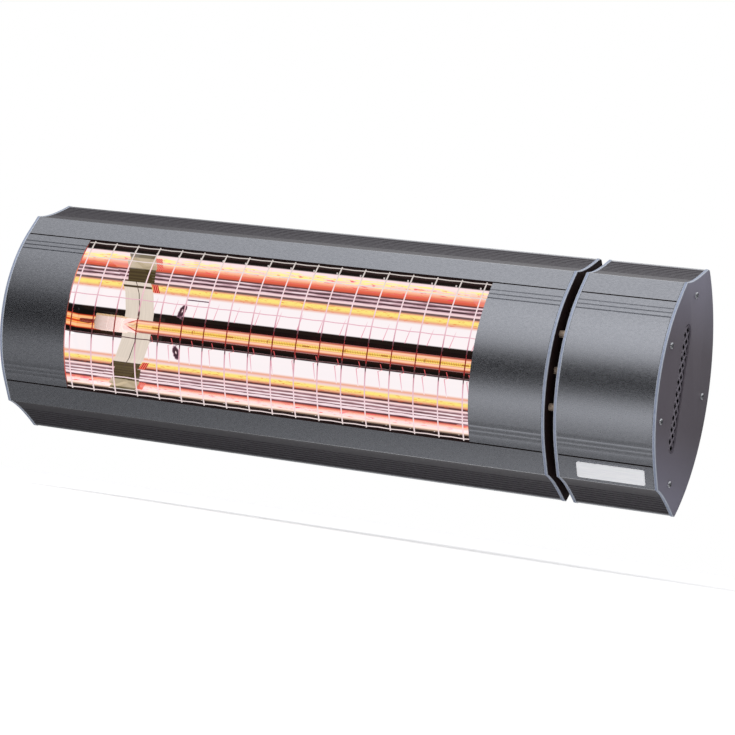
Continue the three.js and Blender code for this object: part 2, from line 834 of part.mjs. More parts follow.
function bush() {
  const from = bodyRight - plateThickness - bushEnd;
  const to = boxLeft + plateThickness + bushEnd;
  const bore = bushBore / 2;
  const flangeRadius = bushRadius + bushFlange;
  return turnedAlongX([
    [bore, from], [bushRadius, from], [bushRadius, bodyRight + fit],
    [flangeRadius, bodyRight + fit], [flangeRadius, boxLeft - fit],
    [bushRadius, boxLeft - fit], [bushRadius, to], [bore, to], [bore, from],
  ], bushDepth, 0, 24);
}

function terminalBlock() {
  const back = bossFront - seat;
  const front = back - blockDepth;
  const half = blockHeight / 2;
  const wayPitch = blockHeight / blockWays;
  const base = block([blockLeft, blockLeft + blockLength], [front, back], [-half, half]);
  const wells = Array.from({ length: blockWays }, (_, i) => {
    const height = (i - (blockWays - 1) / 2) * wayPitch;
    return [wellInset, blockLength - wellInset].map((along) => (
      roundAlongY(wellRadius, front - 1, front + wellDepth, blockLeft + along, height, 10)
    ));
  }).flat();
  return cut(base, wells);
}

function controlBoard() {
  const left = boxLeft + plateThickness + boardMargin;
  const right = rightEnd - plateThickness - boardMargin;
  const half = flankScrewHeight - portRadius - fit;
  const back = boardDepth + boardThickness;
  const foot = back - boardThickness / 2;
  const part = (from, length, rise, middle, height) => (
    block([from, from + length], [foot, back + rise], [middle - height / 2, middle + height / 2])
  );
  const relayLeft = left + boardPartGap;
  const stripLeft = relayLeft + relayLength + boardPartGap;
  const sinkLeft = (left + right - sinkLength) / 2;
  const canX = relayLeft + canRadius;
  const smallCanX = canX + canRadius + boardPartGap + smallCanRadius;
  return join([
    block([left, right], [boardDepth, back], [-half, half]),
    part(relayLeft, relayLength, relayRise, boardRowHeight, relayHeight),
    part(stripLeft, stripLength, stripRise, boardRowHeight, stripHeight),
    part(sinkLeft, sinkLength, sinkRise, -boardRowHeight, sinkHeight),
    roundAlongY(canRadius, foot, back + canRise, canX, 0, 12),
    roundAlongY(smallCanRadius, foot, back + smallCanRise, smallCanX, 0, 12),
  ]);
}

// The gland stands square to the round back, below the T-slot.
const glandAngle = Math.asin(glandHeight / rearRadius);
const glandX = (boxLeft + rightEnd) / 2;

function intoGlandPlace(geometry) {
  return geometry
    .rotateX(glandAngle)
    .translate(glandX, rearCentre, 0);
}

function glandPiece(profile, sides) {
  return intoGlandPlace(new THREE.LatheGeometry(profile.map(([r, y]) => point(r, y)), sides));
}

function cableGland() {
  const bore = glandBore / 2;
  const inside = rearRadius - housingWall - glandInside;
  const under = rearRadius + fit;
  const dome = under + glandOutside;
  const collarTop = under + glandCollar;
  const capRadius = glandFlangeRadius - glandStep;
  return glandPiece([
    [bore, inside], [glandRadius, inside], [glandRadius, under],
    [glandFlangeRadius, under], [glandFlangeRadius, collarTop], [capRadius, collarTop + glandStep / 2],
    [capRadius, dome - glandCollar], [glandRadius - glandStep, dome], [bore, dome], [bore, inside],
  ], 20);
}

function glandNut() {
  const top = rearRadius - housingWall - 2 * fit;
  const bore = glandRadius + boreFit;
  return glandPiece([
    [bore, top - glandNutHeight], [glandFlangeRadius, top - glandNutHeight],
    [glandFlangeRadius, top], [bore, top], [bore, top - glandNutHeight],
  ], 18);
}

function glandDrill() {
  const reach = 12;
  return intoGlandPlace(new THREE.CylinderGeometry(glandRadius + boreFit, glandRadius + boreFit,
    2 * reach, 20).translate(0, rearRadius, 0));
}

// Bare name plate on the lower rail of the box.
function badge() {
  const middle = seamPoint.clone().lerp(corner, 0.5);
  const away = fit + badgeThickness / 2;
  const centre = middle.addScaledVector(railNormal, away);
  const half = point(badgeLength / 2, badgeHeight / 2);
  const shape = new THREE.Shape([
    point(-half.x, -half.y + badgeCorner), point(-half.x + badgeCorner, -half.y),
    point(half.x - badgeCorner, -half.y), point(half.x, -half.y + badgeCorner),
    point(half.x, half.y - badgeCorner), point(half.x - badgeCorner, half.y),
    point(-half.x + badgeCorner, half.y), point(-half.x, half.y - badgeCorner),
  ]);
  const tilt = Math.atan2(-railStep.x, -railStep.y);
  return new THREE.ExtrudeGeometry(shape, { depth: badgeThickness, bevelEnabled: false })
    .translate(0, 0, -badgeThickness / 2)
    .rotateX(Math.PI / 2 + tilt)
    .translate((boxLeft + rightEnd) / 2 + badgeShift, centre.x, -centre.y);
}

// Ear of the bracket or yoke: a plate across X that narrows to a round end at the pivot.
function ear(from, rootDepth, rootHeight, radius) {
  const towards = Math.sign(rootDepth);
  const arc = Array.from({ length: 13 }, (_, i) => {
    const angle = Math.PI / 2 - (i / 12) * Math.PI;
    return point(-towards * radius * Math.cos(angle), radius * Math.sin(angle));
  });
  const outline = [point(rootDepth, rootHeight / 2), ...arc, point(rootDepth, -rootHeight / 2)];
  return alongX(outline, from, from + bracketSheet, [circle(pivotRadius + boreFit, 0, 0, 20)]);
}

const wallEarInside = earSpread / 2 - bracketSheet;
const yokeEarInside = wallEarInside - fit - bracketSheet;

// Pieces round the pivot are drawn with the pivot at depth 0.
function wallBracket() {
  const front = pivotFromWall - bracketSheet;
  const halfX = wallPlateWidth / 2;
  const halfZ = wallPlateHeight / 2;
  const plate = block([-halfX, halfX], [front, pivotFromWall], [-halfZ, halfZ]);
  const ears = [-earSpread / 2, wallEarInside].map((from) => (
    ear(from, front + 0.5, earRootHeight, earRadius)
  ));
  const slots = [-1, 1].flatMap((sx) => [-1, 1].map((sz) => {
    const x = sx * wallHoleSpacingX / 2;
    const z = sz * wallHoleSpacingZ / 2;
    const reach = wallHoleLength / 2 - wallHoleRadius;
    const depth = [front - 1, pivotFromWall + 1];
    return [
      roundAlongY(wallHoleRadius, ...depth, x - reach, z),
      roundAlongY(wallHoleRadius, ...depth, x + reach, z),
      block([x - reach, x + reach], depth, [z - wallHoleRadius, z + wallHoleRadius]),
    ];
  })).flat();
  return cut(join([plate, ...ears]), slots);
}

function tiltYoke() {
  const seatFace = -pivotFromHeater + seat;
  const back = seatFace + bracketSheet;
  const half = yokeHeight / 2;
  const outside = yokeEarInside + bracketSheet;
  const base = block([-outside, outside], [seatFace, back], [-half, half]);
  const ears = [-outside, yokeEarInside].map((from) => (
    ear(from, back - 0.5, yokeHeight, earRadius)
  ));
  const holes = [-1, 1].map((side) => (
    roundAlongY(slotScrewRadius + boreFit, seatFace - 1, back + 1, side * yokeScrewSpacing / 2, 0)
  ));
  return cut(join([base, ...ears]), holes);
}

function pivotBolt(side) {
  const under = earSpread / 2 + seat;
  const head = under + pivotHeadHeight;
  const end = yokeEarInside - pivotNutHeight - pivotBoltTail;
  const shank = roundAlongX(pivotRadius, end, under + 0.5, 0, 0, 20);
  const hex = roundAlongX(pivotHeadRadius, under, head, 0, 0, 6);
  return join([shank, hex]).rotateZ(side > 0 ? 0 : Math.PI);
}

function pivotNut(side) {
  const top = yokeEarInside - fit;
  const hex = circle(pivotHeadRadius, 0, 0, 6);
  const bore = circle(pivotRadius + boreFit, 0, 0, 20);
  const from = side > 0 ? top - pivotNutHeight : -top;
  return alongX(hex, from, from + pivotNutHeight, [bore]);
}

function slotNut(side) {
  const x = side * yokeScrewSpacing / 2;
  const floor = -pivotFromHeater - slotLip - slotDepth;
  const top = -pivotFromHeater - slotLip - fit;
  return cut(
    block([x - slotNutLength / 2, x + slotNutLength / 2], [floor + fit, top],
      [-slotWidth / 2 + fit, slotWidth / 2 - fit]),
    [roundAlongY(slotScrewRadius + boreFit, floor - 1, top + 1, x, 0)],
  );
}

function slotScrew(side) {
  const x = side * yokeScrewSpacing / 2;
  const end = -pivotFromHeater - slotLip - slotDepth + 3 * fit;
  const under = -pivotFromHeater + bracketSheet + 2 * seat;
  return join([
    roundAlongY(slotScrewRadius, end, under + 0.5, x, 0),
    roundAlongY(slotScrewHeadRadius, under, under + slotScrewHeadHeight, x, 0),
  ]);
}

const heater = new THREE.Group();
heater.position.set(0, heaterOffset, 0);
const bodyFrom = leftEnd + plateThickness + seat;
const bodyTo = bodyRight - plateThickness - seat;
const boxFrom = boxLeft + plateThickness + seat;
const boxTo = rightEnd - plateThickness - seat;

heater.add(
  node('body_housing', housing(bodyFrom, bodyTo, bodyFrom, 1), finish.anodised),
  node('box_housing', cut(housing(boxFrom, boxTo, boxTo, -1), [glandDrill()]), finish.anodised),
  node('left_end_plate', endPlate(leftEnd, screwHoles()), finish.plate),
  node('body_right_end_plate', endPlate(bodyRight - plateThickness, [bushHole()]), finish.plate),
  node('box_left_end_plate', endPlate(boxLeft, [bushHole()]), finish.plate),
  node('box_right_end_plate', endPlate(rightEnd - plateThickness,
    [...screwHoles(), slotLoop(ventDepth, ventLength, ventWidth)]), finish.plate),
  node('left_front_panel', frontPanel(bodyFrom, windowLeft, bodyFrom, 1), finish.anodised),
  node('right_front_panel', frontPanel(windowRight, bodyTo, bodyTo, -1), finish.anodised),
  node('box_front_panel', frontPanel(boxFrom, boxTo, boxTo, -1), finish.anodised),
  node('guard_grille', guardGrille(), finish.steel),
  node('reflector', reflector(), finish.mirror),
  node('reflector_left_end', reflectorEnd(reflectorLeft - fit - reflectorThickness, []), finish.mirror),
  node('reflector_right_end', reflectorEnd(reflectorRight + fit,
    [circle(leadRadius + 2, lampDepth, 0, 12)]), finish.mirror),
  node('lamp_tube', alongX(circle(tubeRadius, lampDepth, 0, 24), tubeLeft, tubeRight,
    [circle(tubeRadius - tubeWall, lampDepth, 0, 24)]), finish.quartz),
  node('lamp_filament', filament(), finish.glow),
  node('lamp_left_seal', lampSeal(-1), finish.quartz),
  node('lamp_right_seal', lampSeal(1), finish.quartz),
  node('lamp_left_cap', lampCap(-1), finish.ceramic),
  node('lamp_right_cap', lampCap(1), finish.ceramic),
  node('lamp_left_holder', holderStrap(lampLeft + holderInset), finish.holder),
  node('lamp_right_holder', holderStrap(lampRight - holderInset - holderWidth), finish.holder),
  node('left_lead', leftLead(), finish.silicone),
  node('right_lead', rightLead(), finish.silicone),
  node('lead_bush', bush(), finish.plastic),
  node('vent_grid', ventGrid(), finish.powder),
  node('badge_plate', badge(), finish.badge),
  node('terminal_block', terminalBlock(), finish.ceramic),
  node('control_board', controlBoard(), finish.board),
  node('cable_gland', cableGland(), finish.plastic),
  node('gland_nut', glandNut(), finish.plastic),
);
spacerHeights.forEach((height, i) => {
  heater.add(node(`gap_spacer_${i + 1}`,
    roundAlongX(spacerRadius, bodyRight + seat, boxLeft - seat, spacerDepth, height, 16), finish.steel));
});
screwPlaces.forEach((place, i) => {
  heater.add(
    node(`left_plate_screw_${i + 1}`, plateScrew(leftEnd, -1, place), finish.steel),
    node(`right_plate_screw_${i + 1}`, plateScrew(rightEnd, 1, place), finish.steel),
  );
});

const bracket = new THREE.Group();
bracket.position.set(0, -pivotFromWall, 0);
bracket.add(
  node('wall_bracket', wallBracket(), finish.powder),
  node('tilt_yoke', tiltYoke(), finish.powder),
);
for (const [name, side] of [['left', -1], ['right', 1]]) {
  bracket.add(
    node(`${name}_pivot_bolt`, pivotBolt(side), finish.steel),
    node(`${name}_pivot_nut`, pivotNut(side), finish.steel),
    node(`${name}_slot_nut`, slotNut(side), finish.steel),
    node(`${name}_slot_screw`, slotScrew(side), finish.steel),
  );
}

const assembly = new THREE.Group();
assembly.add(heater, bracket);

export default assembly;
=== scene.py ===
import math

import bmesh
import bpy
from mathutils import Matrix, Vector


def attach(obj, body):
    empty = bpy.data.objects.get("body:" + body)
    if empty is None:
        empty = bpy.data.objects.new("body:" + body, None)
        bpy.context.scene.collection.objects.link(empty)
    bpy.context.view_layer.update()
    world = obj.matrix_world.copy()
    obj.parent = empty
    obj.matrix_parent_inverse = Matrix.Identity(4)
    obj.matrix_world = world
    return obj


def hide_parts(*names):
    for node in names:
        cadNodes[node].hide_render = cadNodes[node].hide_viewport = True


# Horizontal infrared patio heater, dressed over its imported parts.
# Pieces are drawn in millimetres, depth 0 at the housing's front corners, then set in place.

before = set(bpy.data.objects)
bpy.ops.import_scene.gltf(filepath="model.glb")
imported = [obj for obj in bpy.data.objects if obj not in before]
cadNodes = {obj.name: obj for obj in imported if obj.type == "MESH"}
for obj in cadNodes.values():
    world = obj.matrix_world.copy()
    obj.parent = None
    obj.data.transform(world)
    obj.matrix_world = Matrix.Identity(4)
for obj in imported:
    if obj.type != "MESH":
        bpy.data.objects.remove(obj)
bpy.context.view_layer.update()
print("frame loaded:", len(cadNodes), "nodes")

heaterPlace = Vector((0, -160, 0))     # the heater's own origin in the frame

section = {                            # housing profile, seen from its end
    "height": 200, "cornerInset": 17.5, "seamInset": 16.5, "seamDepth": -12, "apexDepth": -33.3,
    "flankPull": (16, 1.7), "tipFront": 45, "tipRear": 51, "tipRound": 1, "rearApex": 94, "rearCut": 1,
    "wall": 2.4, "ribs": 7, "ribPitch": 4, "ribWidth": 1.9, "ribDepth": 0.9,
    "slotMouth": 12, "slotLip": 3, "slotWidth": 22, "slotDepth": 8,
}
along = {                              # along the heater
    "body": 514, "box": 85.5, "gap": 7.5, "windowInset": 66, "plate": 3, "seat": 0.1, "fit": 0.3,
}

leftEnd = -(along["body"] + along["gap"] + along["box"]) / 2
bodyRight = leftEnd + along["body"]
boxLeft = bodyRight + along["gap"]
rightEnd = boxLeft + along["box"]
windowLeft = leftEnd + along["windowInset"]
windowRight = bodyRight - along["windowInset"]
plateIn = along["plate"] + along["seat"]
bodySpan = (leftEnd + plateIn, bodyRight - plateIn)
boxSpan = (boxLeft + plateIn, rightEnd - plateIn)

halfHeight = section["height"] / 2
halfCorner = halfHeight - section["cornerInset"]
halfSeam = halfCorner - section["seamInset"]
frontRise = section["seamDepth"] - section["apexDepth"]
frontRadius = (halfSeam ** 2 + frontRise ** 2) / (2 * frontRise)
frontCentre = section["apexDepth"] + frontRadius
seamAngle = math.asin(halfSeam / frontRadius)
rearRise = section["rearApex"] - section["tipRear"]
rearRadius = (halfHeight ** 2 + rearRise ** 2) / (2 * rearRise)
rearCentre = section["rearApex"] - rearRadius
rearLand = section["rearApex"] - section["rearCut"]
landAngle = math.acos((rearLand - rearCentre) / rearRadius)
tipAngle = math.asin(halfHeight / rearRadius)
slotFloor = rearLand - section["slotLip"] - section["slotDepth"]
bossFront = slotFloor - section["wall"]
corner = Vector((0, halfCorner))
seamPoint = Vector((section["seamDepth"], halfSeam))
railStep = (seamPoint - corner).normalized()
railNormal = Vector((railStep.y, -railStep.x))
tipFront = Vector((section["tipFront"], halfHeight - section["tipRound"]))


def toLinear(hexColour):
    parts = [int(hexColour[i:i + 2], 16) / 255 for i in (0, 2, 4)]
    return (*[c / 12.92 if c <= 0.04045 else ((c + 0.055) / 1.055) ** 2.4 for c in parts], 1)


# Settings are sockets, by name or number, or the node's own values. A node or a socket as a value
# is linked, a hex string is a colour, and stops fill a colour ramp.
def setNode(tree, node, settings):
    for key, value in settings.items():
        if isinstance(value, bpy.types.Node):
            value = value.outputs[0]
        if key == "stops":
            ramp = node.color_ramp
            ramp.elements.remove(ramp.elements[0])
            for i, (place, colour) in enumerate(value):
                element = ramp.elements[0] if i == 0 else ramp.elements.new(place)
                element.position = place
                element.color = toLinear(colour) if isinstance(colour, str) else (colour,) * 3 + (1,)
        elif isinstance(value, bpy.types.NodeSocket):
            tree.links.new(value, node.inputs[key])
        elif isinstance(key, int) or key in node.inputs:
            node.inputs[key].default_value = toLinear(value) if isinstance(value, str) else value
        else:
            setattr(node, key, value)
    return node


# A string as the settings is the node's operation. What follows them goes to the inputs in order.
def addNode(tree, kind, settings=None, *inputs):
    if isinstance(settings, str):
        settings = {"operation": settings}
    node = tree.nodes.new("ShaderNode" + kind)
    return setNode(tree, node, {**(settings or {}), **dict(enumerate(inputs))})


def newMaterial(name, settings):
    material = bpy.data.materials.new(name)
    material.use_nodes = True
    tree = material.node_tree
    tree.nodes.clear()
    shader = addNode(tree, "BsdfPrincipled", settings)
    addNode(tree, "OutputMaterial", {"Surface": shader})
    return material, tree, shader


# Noise on Object coordinates whose grain is given in millimetres along each axis.
def grain(tree, size, detail=2):
    place = addNode(tree, "TexCoord")
    scaled = addNode(tree, "Mapping", {
        "Scale": [1000 / mm for mm in size], "Vector": place.outputs["Object"]})
    return addNode(tree, "TexNoise", {"Scale": 1, "Detail": detail, "Roughness": 0.6, "Vector": scaled})


# The Object coordinates X and Z in millimetres, and the size of Z.
def placeInMm(tree):
    place = addNode(tree, "TexCoord")
    scaled = addNode(tree, "Mapping", {"Scale": (1000, 1000, 1000), "Vector": place.outputs["Object"]})
    parts = addNode(tree, "SeparateXYZ", {0: scaled})
    far = addNode(tree, "Math", "ABSOLUTE", parts.outputs["Z"])
    return parts.outputs["X"], parts.outputs["Z"], far


# Colours by a measured value: each band is the value and its colour.
def bandRamp(tree, source, bands):
    low, high = bands[0][0], bands[-1][0]
    share = addNode(tree, "MapRange", {}, source, low, high)
    return addNode(tree, "ValToRGB", {
        "Fac": share, "stops": [((at - low) / (high - low), colour) for at, colour in bands]})


# Lays one colour over another where every source lies between its two bounds.
def paint(tree, under, over, bounds, amount=1):
    for source, low, high in bounds:
        within = addNode(tree, "Math", "COMPARE", source, (low + high) / 2, (high - low) / 2)
        amount = addNode(tree, "Math", "MULTIPLY", within, amount)
    return addNode(tree, "MixRGB", {}, amount, under, over)


# A material whose colour wanders between two tones in a grain of the given size.
def speckled(name, settings, size, dark, pale, detail=2, relief=0):
    material, tree, shader = newMaterial(name, settings)
    fine = grain(tree, size, detail)
    shade = addNode(tree, "ValToRGB", {"stops": [(0.3, dark), (0.7, pale)], "Fac": fine})
    setNode(tree, shader, {"Base Color": shade})
    if relief:
        bump = addNode(tree, "Bump", {"Strength": relief, "Distance": 0.0001, "Height": fine})
        setNode(tree, shader, {"Normal": bump})
    return material, tree, shader, fine


def arc(centre, radius, start, end, steps, towards=1):
    angles = [start + (end - start) * i / steps for i in range(steps + 1)]
    return [Vector((centre + towards * radius * math.cos(a), radius * math.sin(a))) for a in angles]


def frontArc(inset, start, end, steps):
    return arc(frontCentre, frontRadius - inset, start, end, steps, -1)


def frontPoint(inset, angle):
    return frontArc(inset, angle, angle, 1)[0]


def rearArc(inset, start, end, steps):
    return arc(rearCentre, rearRadius - inset, start, end, steps)


def mirrored(points):
    return [Vector((p.x, -p.y)) for p in reversed(points)]


# The flank is a hollow curve from tip to corner.
flankPull = Vector((section["flankPull"][0], halfCorner + section["flankPull"][1]))
flankSteps = 96
flankLine = [tipFront * (1 - t) ** 2 + flankPull * 2 * t * (1 - t) + corner * t ** 2
             for t in [i / flankSteps for i in range(flankSteps + 1)]]
flankLength = sum((b - a).length for a, b in zip(flankLine, flankLine[1:]))


def flankAt(distance, depth=0):
    walked = 0
    for a, b in zip(flankLine, flankLine[1:]):
        step = (b - a).length
        if walked + step >= distance or b == flankLine[-1]:
            way = (b - a) / step
            return a + way * (distance - walked) - Vector((way.y, -way.x)) * depth
        walked += step


# Moves a line or a closed loop sideways.
def offsetPath(points, distance, closed=False):
    steps = [(b - a).normalized() for a, b in zip(points, points[1:] + points[:1])]
    if not closed:
        steps[-1] = steps[-2]
    moved = []
    for i, (p, after) in enumerate(zip(points, steps)):
        before = steps[i - 1] if i or closed else after
        first, second = Vector((-before.y, before.x)), Vector((-after.y, after.x))
        moved.append(p + (first + second) / (1 + first.dot(second)) * distance)
    return moved


def onlyVerts(grown):
    return [v for v in grown if isinstance(v, bmesh.types.BMVert)]


# A solid along X from an outline of (depth, height) points.
def extrudeOutline(outline, start, end):
    bm = bmesh.new()
    face = bm.faces.new([bm.verts.new((start, p.x, p.y)) for p in outline])
    grown = bmesh.ops.extrude_face_region(bm, geom=[face])["geom"]
    bmesh.ops.translate(bm, vec=(end - start, 0, 0), verts=onlyVerts(grown))
    bmesh.ops.recalc_face_normals(bm, faces=bm.faces)
    return bm


# The same of a sheet that follows a line.
def extrudeSheet(line, thickness, start, end):
    return extrudeOutline(line + list(reversed(offsetPath(line, thickness))), start, end)


def bevelEdges(bm, edges, width, segments=2):
    bmesh.ops.bevel(bm, geom=list(edges), offset=width, offset_type="OFFSET", segments=segments,
                    profile=0.5, affect="EDGES", clamp_overlap=True, material=-1)


def sharpEdges(bm, angle):
    return [e for e in bm.edges if e.is_manifold and e.calc_face_angle(0) > math.radians(angle)]


# Turns a line of (radius, position) points about the X axis.
def turnProfile(bm, profile, sides):
    verts = [bm.verts.new((x, r, 0)) for r, x in profile]
    edges = [bm.edges.new(pair) for pair in zip(verts, verts[1:])]
    bmesh.ops.spin(bm, geom=verts + edges, cent=(0, 0, 0), axis=(1, 0, 0), angle=2 * math.pi, steps=sides,
                   use_merge=True)
    bmesh.ops.remove_doubles(bm, verts=bm.verts, dist=1e-4)
    bmesh.ops.recalc_face_normals(bm, faces=bm.faces)


def newRing(bm, radius, sides):
    ring = bmesh.ops.create_circle(bm, segments=sides, radius=radius, cap_ends=False)["verts"]
    return ring, list({e for v in ring for e in v.link_edges})


# Runs a ring along points, turning it to face each new way.
def sweepRing(bm, points, radius):
    ring, edges = newRing(bm, radius, 8)
    ways = [(points[min(i + 1, len(points) - 1)] - points[max(i - 1, 0)]) for i in range(len(points))]
    last = Matrix()
    for i, (point, way) in enumerate(zip(points, ways)):
        stand = Matrix.Translation(point) @ way.to_track_quat("Z", "Y").to_matrix().to_4x4()
        if i:
            grown = bmesh.ops.extrude_edge_only(bm, edges=edges)["geom"]
            ring = onlyVerts(grown)
            edges = [e for e in grown if isinstance(e, bmesh.types.BMEdge)
                     and e.verts[0] in ring and e.verts[1] in ring]
        bmesh.ops.transform(bm, matrix=stand @ last.inverted(), verts=ring)
        last = stand


# A ring of the given wire, spun about a line along X.
def spinRing(bm, centre, radius, wire, turns=1, rise=0, steps=24, sides=6):
    ring, edges = newRing(bm, wire, sides)
    bmesh.ops.translate(bm, vec=Vector(centre) + Vector((0, radius, 0)), verts=ring)
    bmesh.ops.spin(bm, geom=ring + edges, cent=centre, axis=(1, 0, 0), angle=2 * math.pi * turns, steps=steps,
                   dvec=(rise / steps, 0, 0), use_merge=rise == 0)


def closeEnds(bm):
    bmesh.ops.holes_fill(bm, edges=[e for e in bm.edges if e.is_boundary], sides=0)
    bmesh.ops.recalc_face_normals(bm, faces=bm.faces)


# Puts a bmesh in millimetres into the scene, in metres.
def addObject(bm, name, place=heaterPlace):
    bmesh.ops.translate(bm, vec=place, verts=bm.verts)
    bmesh.ops.scale(bm, vec=(0.001, 0.001, 0.001), verts=bm.verts)
    mesh = bpy.data.meshes.new(name)
    bm.to_mesh(mesh)
    bm.free()
    made = bpy.data.objects.new(name, mesh)
    bpy.context.scene.collection.objects.link(made)
    return made


def smoothMesh(mesh, angle):
    mesh.shade_smooth()
    mesh.set_sharp_from_angle(angle=math.radians(angle))


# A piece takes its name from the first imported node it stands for, or has one of its own.
def finishPiece(bm, nodes, finishes, smooth=35, name=None, body="heater", place=heaterPlace):
    first, *rest = nodes[0].split("_")
    piece = addObject(bm, name or first + "".join(word.title() for word in rest), place)
    for finish in finishes:
        piece.data.materials.append(finish)
    smoothMesh(piece.data, smooth)
    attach(piece, body)
    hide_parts(*nodes)
    return piece


# Cuts the tools, each a bmesh in the piece's millimetres, out of a finished piece.
def cutHoles(piece, tools, smooth):
    for bm in tools:
        cutter = addObject(bm, "cutter")
        modifier = piece.modifiers.new("hole", "BOOLEAN")
        modifier.operation, modifier.solver, modifier.object = "DIFFERENCE", "EXACT", cutter
        bpy.context.view_layer.update()
        shaped = piece.evaluated_get(bpy.context.evaluated_depsgraph_get())
        spent = [cutter.data, piece.data]
        piece.data = bpy.data.meshes.new_from_object(shaped)
        piece.data.name = piece.name
        piece.modifiers.clear()
        bpy.data.objects.remove(cutter)
        for mesh in spent:
            bpy.data.meshes.remove(mesh)
    smoothMesh(piece.data, smooth)


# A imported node's mesh in millimetres, its faces made whole again.
def nodeCopy(node):
    bm = bmesh.new()
    bm.from_mesh(cadNodes[node].data)
    bmesh.ops.scale(bm, vec=(1000, 1000, 1000), verts=bm.verts)
    bmesh.ops.remove_doubles(bm, verts=bm.verts, dist=1e-3)
    bmesh.ops.dissolve_limit(bm, angle_limit=math.radians(1), verts=bm.verts, edges=bm.edges)
    return bm


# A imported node's own shape with its edges broken.
def dressNode(node, finish, width=0.4, body="heater", angle=40):
    bm = nodeCopy(node)
    bevelEdges(bm, sharpEdges(bm, angle), width)
    finishPiece(bm, [node], [finish], body=body, place=Vector())


# Extruded aluminium, blasted and anodised graphite: satin, with a faint drawn grain along X.
anodised, tree, shader, fine = speckled("anodised blasted aluminium", {"Metallic": 0.95}, (2.6, 0.8, 0.8),
                                        "92949b", "a6a8af", relief=0.15)
rough = addNode(tree, "MapRange", {}, fine, 0, 1, 0.2, 0.34)
setNode(tree, shader, {"Roughness": rough})

# The same aluminium along the ribbed flanks, coloured darker as painted shade of the ribs.
flankShadedMetal = speckled("anodised ribbed aluminium, painted shade", {"Metallic": 0.85, "Roughness": 0.5}, (3, 0.9, 0.9),
                      "4b484d", "605d63")[0]

# Aluminium sheet, punched and anodised: flat and matt, warmer than the profile, paler at the tips.
plateMetal, tree, shader, fine = speckled("anodised matt sheet", {"Metallic": 0.35, "Roughness": 0.5},
                                          (1, 0.9, 0.9), "6e6770", "8e8b9b")
tone = addNode(tree, "MapRange", {}, placeInMm(tree)[2], 30, 100)
mixed = addNode(tree, "Math", "MULTIPLY_ADD", fine, 0.35, tone)
tinted = bandRamp(tree, mixed, [(0.08, "716a72"), (0.3, "77717a"), (1, "8f8c9c")])
setNode(tree, shader, {"Base Color": tinted})

# The milled edge of that sheet: brighter and bluish, partly its own tone and partly a painted highlight; the
# chamfer, found by which way it faces, is whiter still, a painted highlight.
edgeHighlightMetal, tree, shader = speckled("anodised milled edge, painted highlight", {"Metallic": 0.3, "Roughness": 0.45},
                                   (1, 3, 3), "8791a8", "a0a9be")[:3]
turned = addNode(tree, "SeparateXYZ", {0: addNode(tree, "TexCoord").outputs["Normal"]})
sideways = addNode(tree, "Math", "ABSOLUTE", turned)
milled = shader.inputs["Base Color"].links[0].from_socket
setNode(tree, shader, {"Base Color": paint(tree, milled, "bcc1c9", [(sideways, 0.25, 0.96)])})

# The faces inside the air gap and the seams: near black, painted shade of those narrow spaces.
seamAndGapShade = speckled("near-black painted shade", {"Metallic": 0.1, "Roughness": 0.7, "Specular IOR Level": 0.1},
                    (2, 2, 2), "261a1a", "342524")[0]

# Panel edges round the window: the lamp shines on them from behind.
litEdge, tree, shader = speckled("anodised edge lit by the lamp", {
    "Roughness": 0.5, "Emission Strength": 0.8}, (1, 2, 2), "402a28", "583c38")[:3]
far = placeInMm(tree)[2]
setNode(tree, shader, {"Emission Color": bandRamp(tree, far, [
    (0, "7a1c12"), (11, "5a1a16"), (14, "d88a90"), (30, "e89a98"), (34, "ff8a50"), (46, "c05a5a"),
    (53, "e8402a"), (61, "3a1814")])})

# Polished aluminium reflector, lit by the lamp. Each fold throws another image of the glowing coil,
# so the tone goes with the height from the middle, in millimetres: channel, white inner facet,
# coil on the middle facet, dark fold, flutes, dark fold, coil on the outer wall, bright rim, flange.
tones = {
    "unlit": "14100f", "glare": "fff6f8", "haze": "f8d8da", "halo": "f0a888", "coil": "ffe880",
    "ember": "dc6048", "fold": "543234", "flute": "8a6a70", "cream": "e4d6c8", "tan": "b0a086",
    "olive": "3a301a", "moss": "504628"}


def toned(*bands):
    return [(at, tones[name]) for at, name in bands]


upperBands = toned(
    (13.6, "unlit"), (14.4, "glare"), (30, "glare"), (32.4, "halo"), (34.6, "coil"), (36.6, "coil"),
    (37.8, "halo"), (38.6, "fold"), (39.6, "fold"), (40.2, "haze"), (41.2, "haze"), (41.8, "flute"),
    (48.4, "fold"), (49.4, "ember"), (51.6, "ember"), (53.2, "halo"), (57.6, "haze"), (59.3, "haze"),
    (59.8, "unlit"))
lowerBands = toned(
    (10.9, "unlit"), (11.6, "glare"), (26.2, "glare"), (28.2, "halo"), (30.2, "haze"), (32.2, "coil"),
    (33.6, "coil"), (35.6, "halo"), (37, "fold"), (37.8, "fold"), (38.8, "haze"), (39.8, "haze"),
    (40.4, "flute"), (50.2, "fold"), (51.4, "ember"), (53, "halo"), (55, "haze"), (57.8, "haze"),
    (59.4, "unlit"))
# The strap's bands are painted light and shade: cream near the lamp, olive on the folds.
strapBands = {                         # cream near the lamp, olive folds further out
    "upper": toned((33.6, "cream"), (34.2, "olive"), (35.4, "olive"), (36, "cream"), (38.4, "cream"),
                   (38.9, "olive")),
    "lower": toned((33, "cream"), (33.6, "olive"), (35, "moss"), (36, "olive"), (37.4, "moss")),
}
imageBands = toned(                    # the strap seen in the flutes, then in the wall
    (38.4, "olive"), (40, "moss"), (41, "olive"), (42.4, "moss"), (43.4, "olive"), (45, "moss"),
    (46.4, "olive"), (48, "moss"), (49.2, "olive"), (50, "tan"), (56.6, "tan"), (57.2, "moss"),
    (59, "moss"), (59.4, "glare"), (59.8, "unlit"))
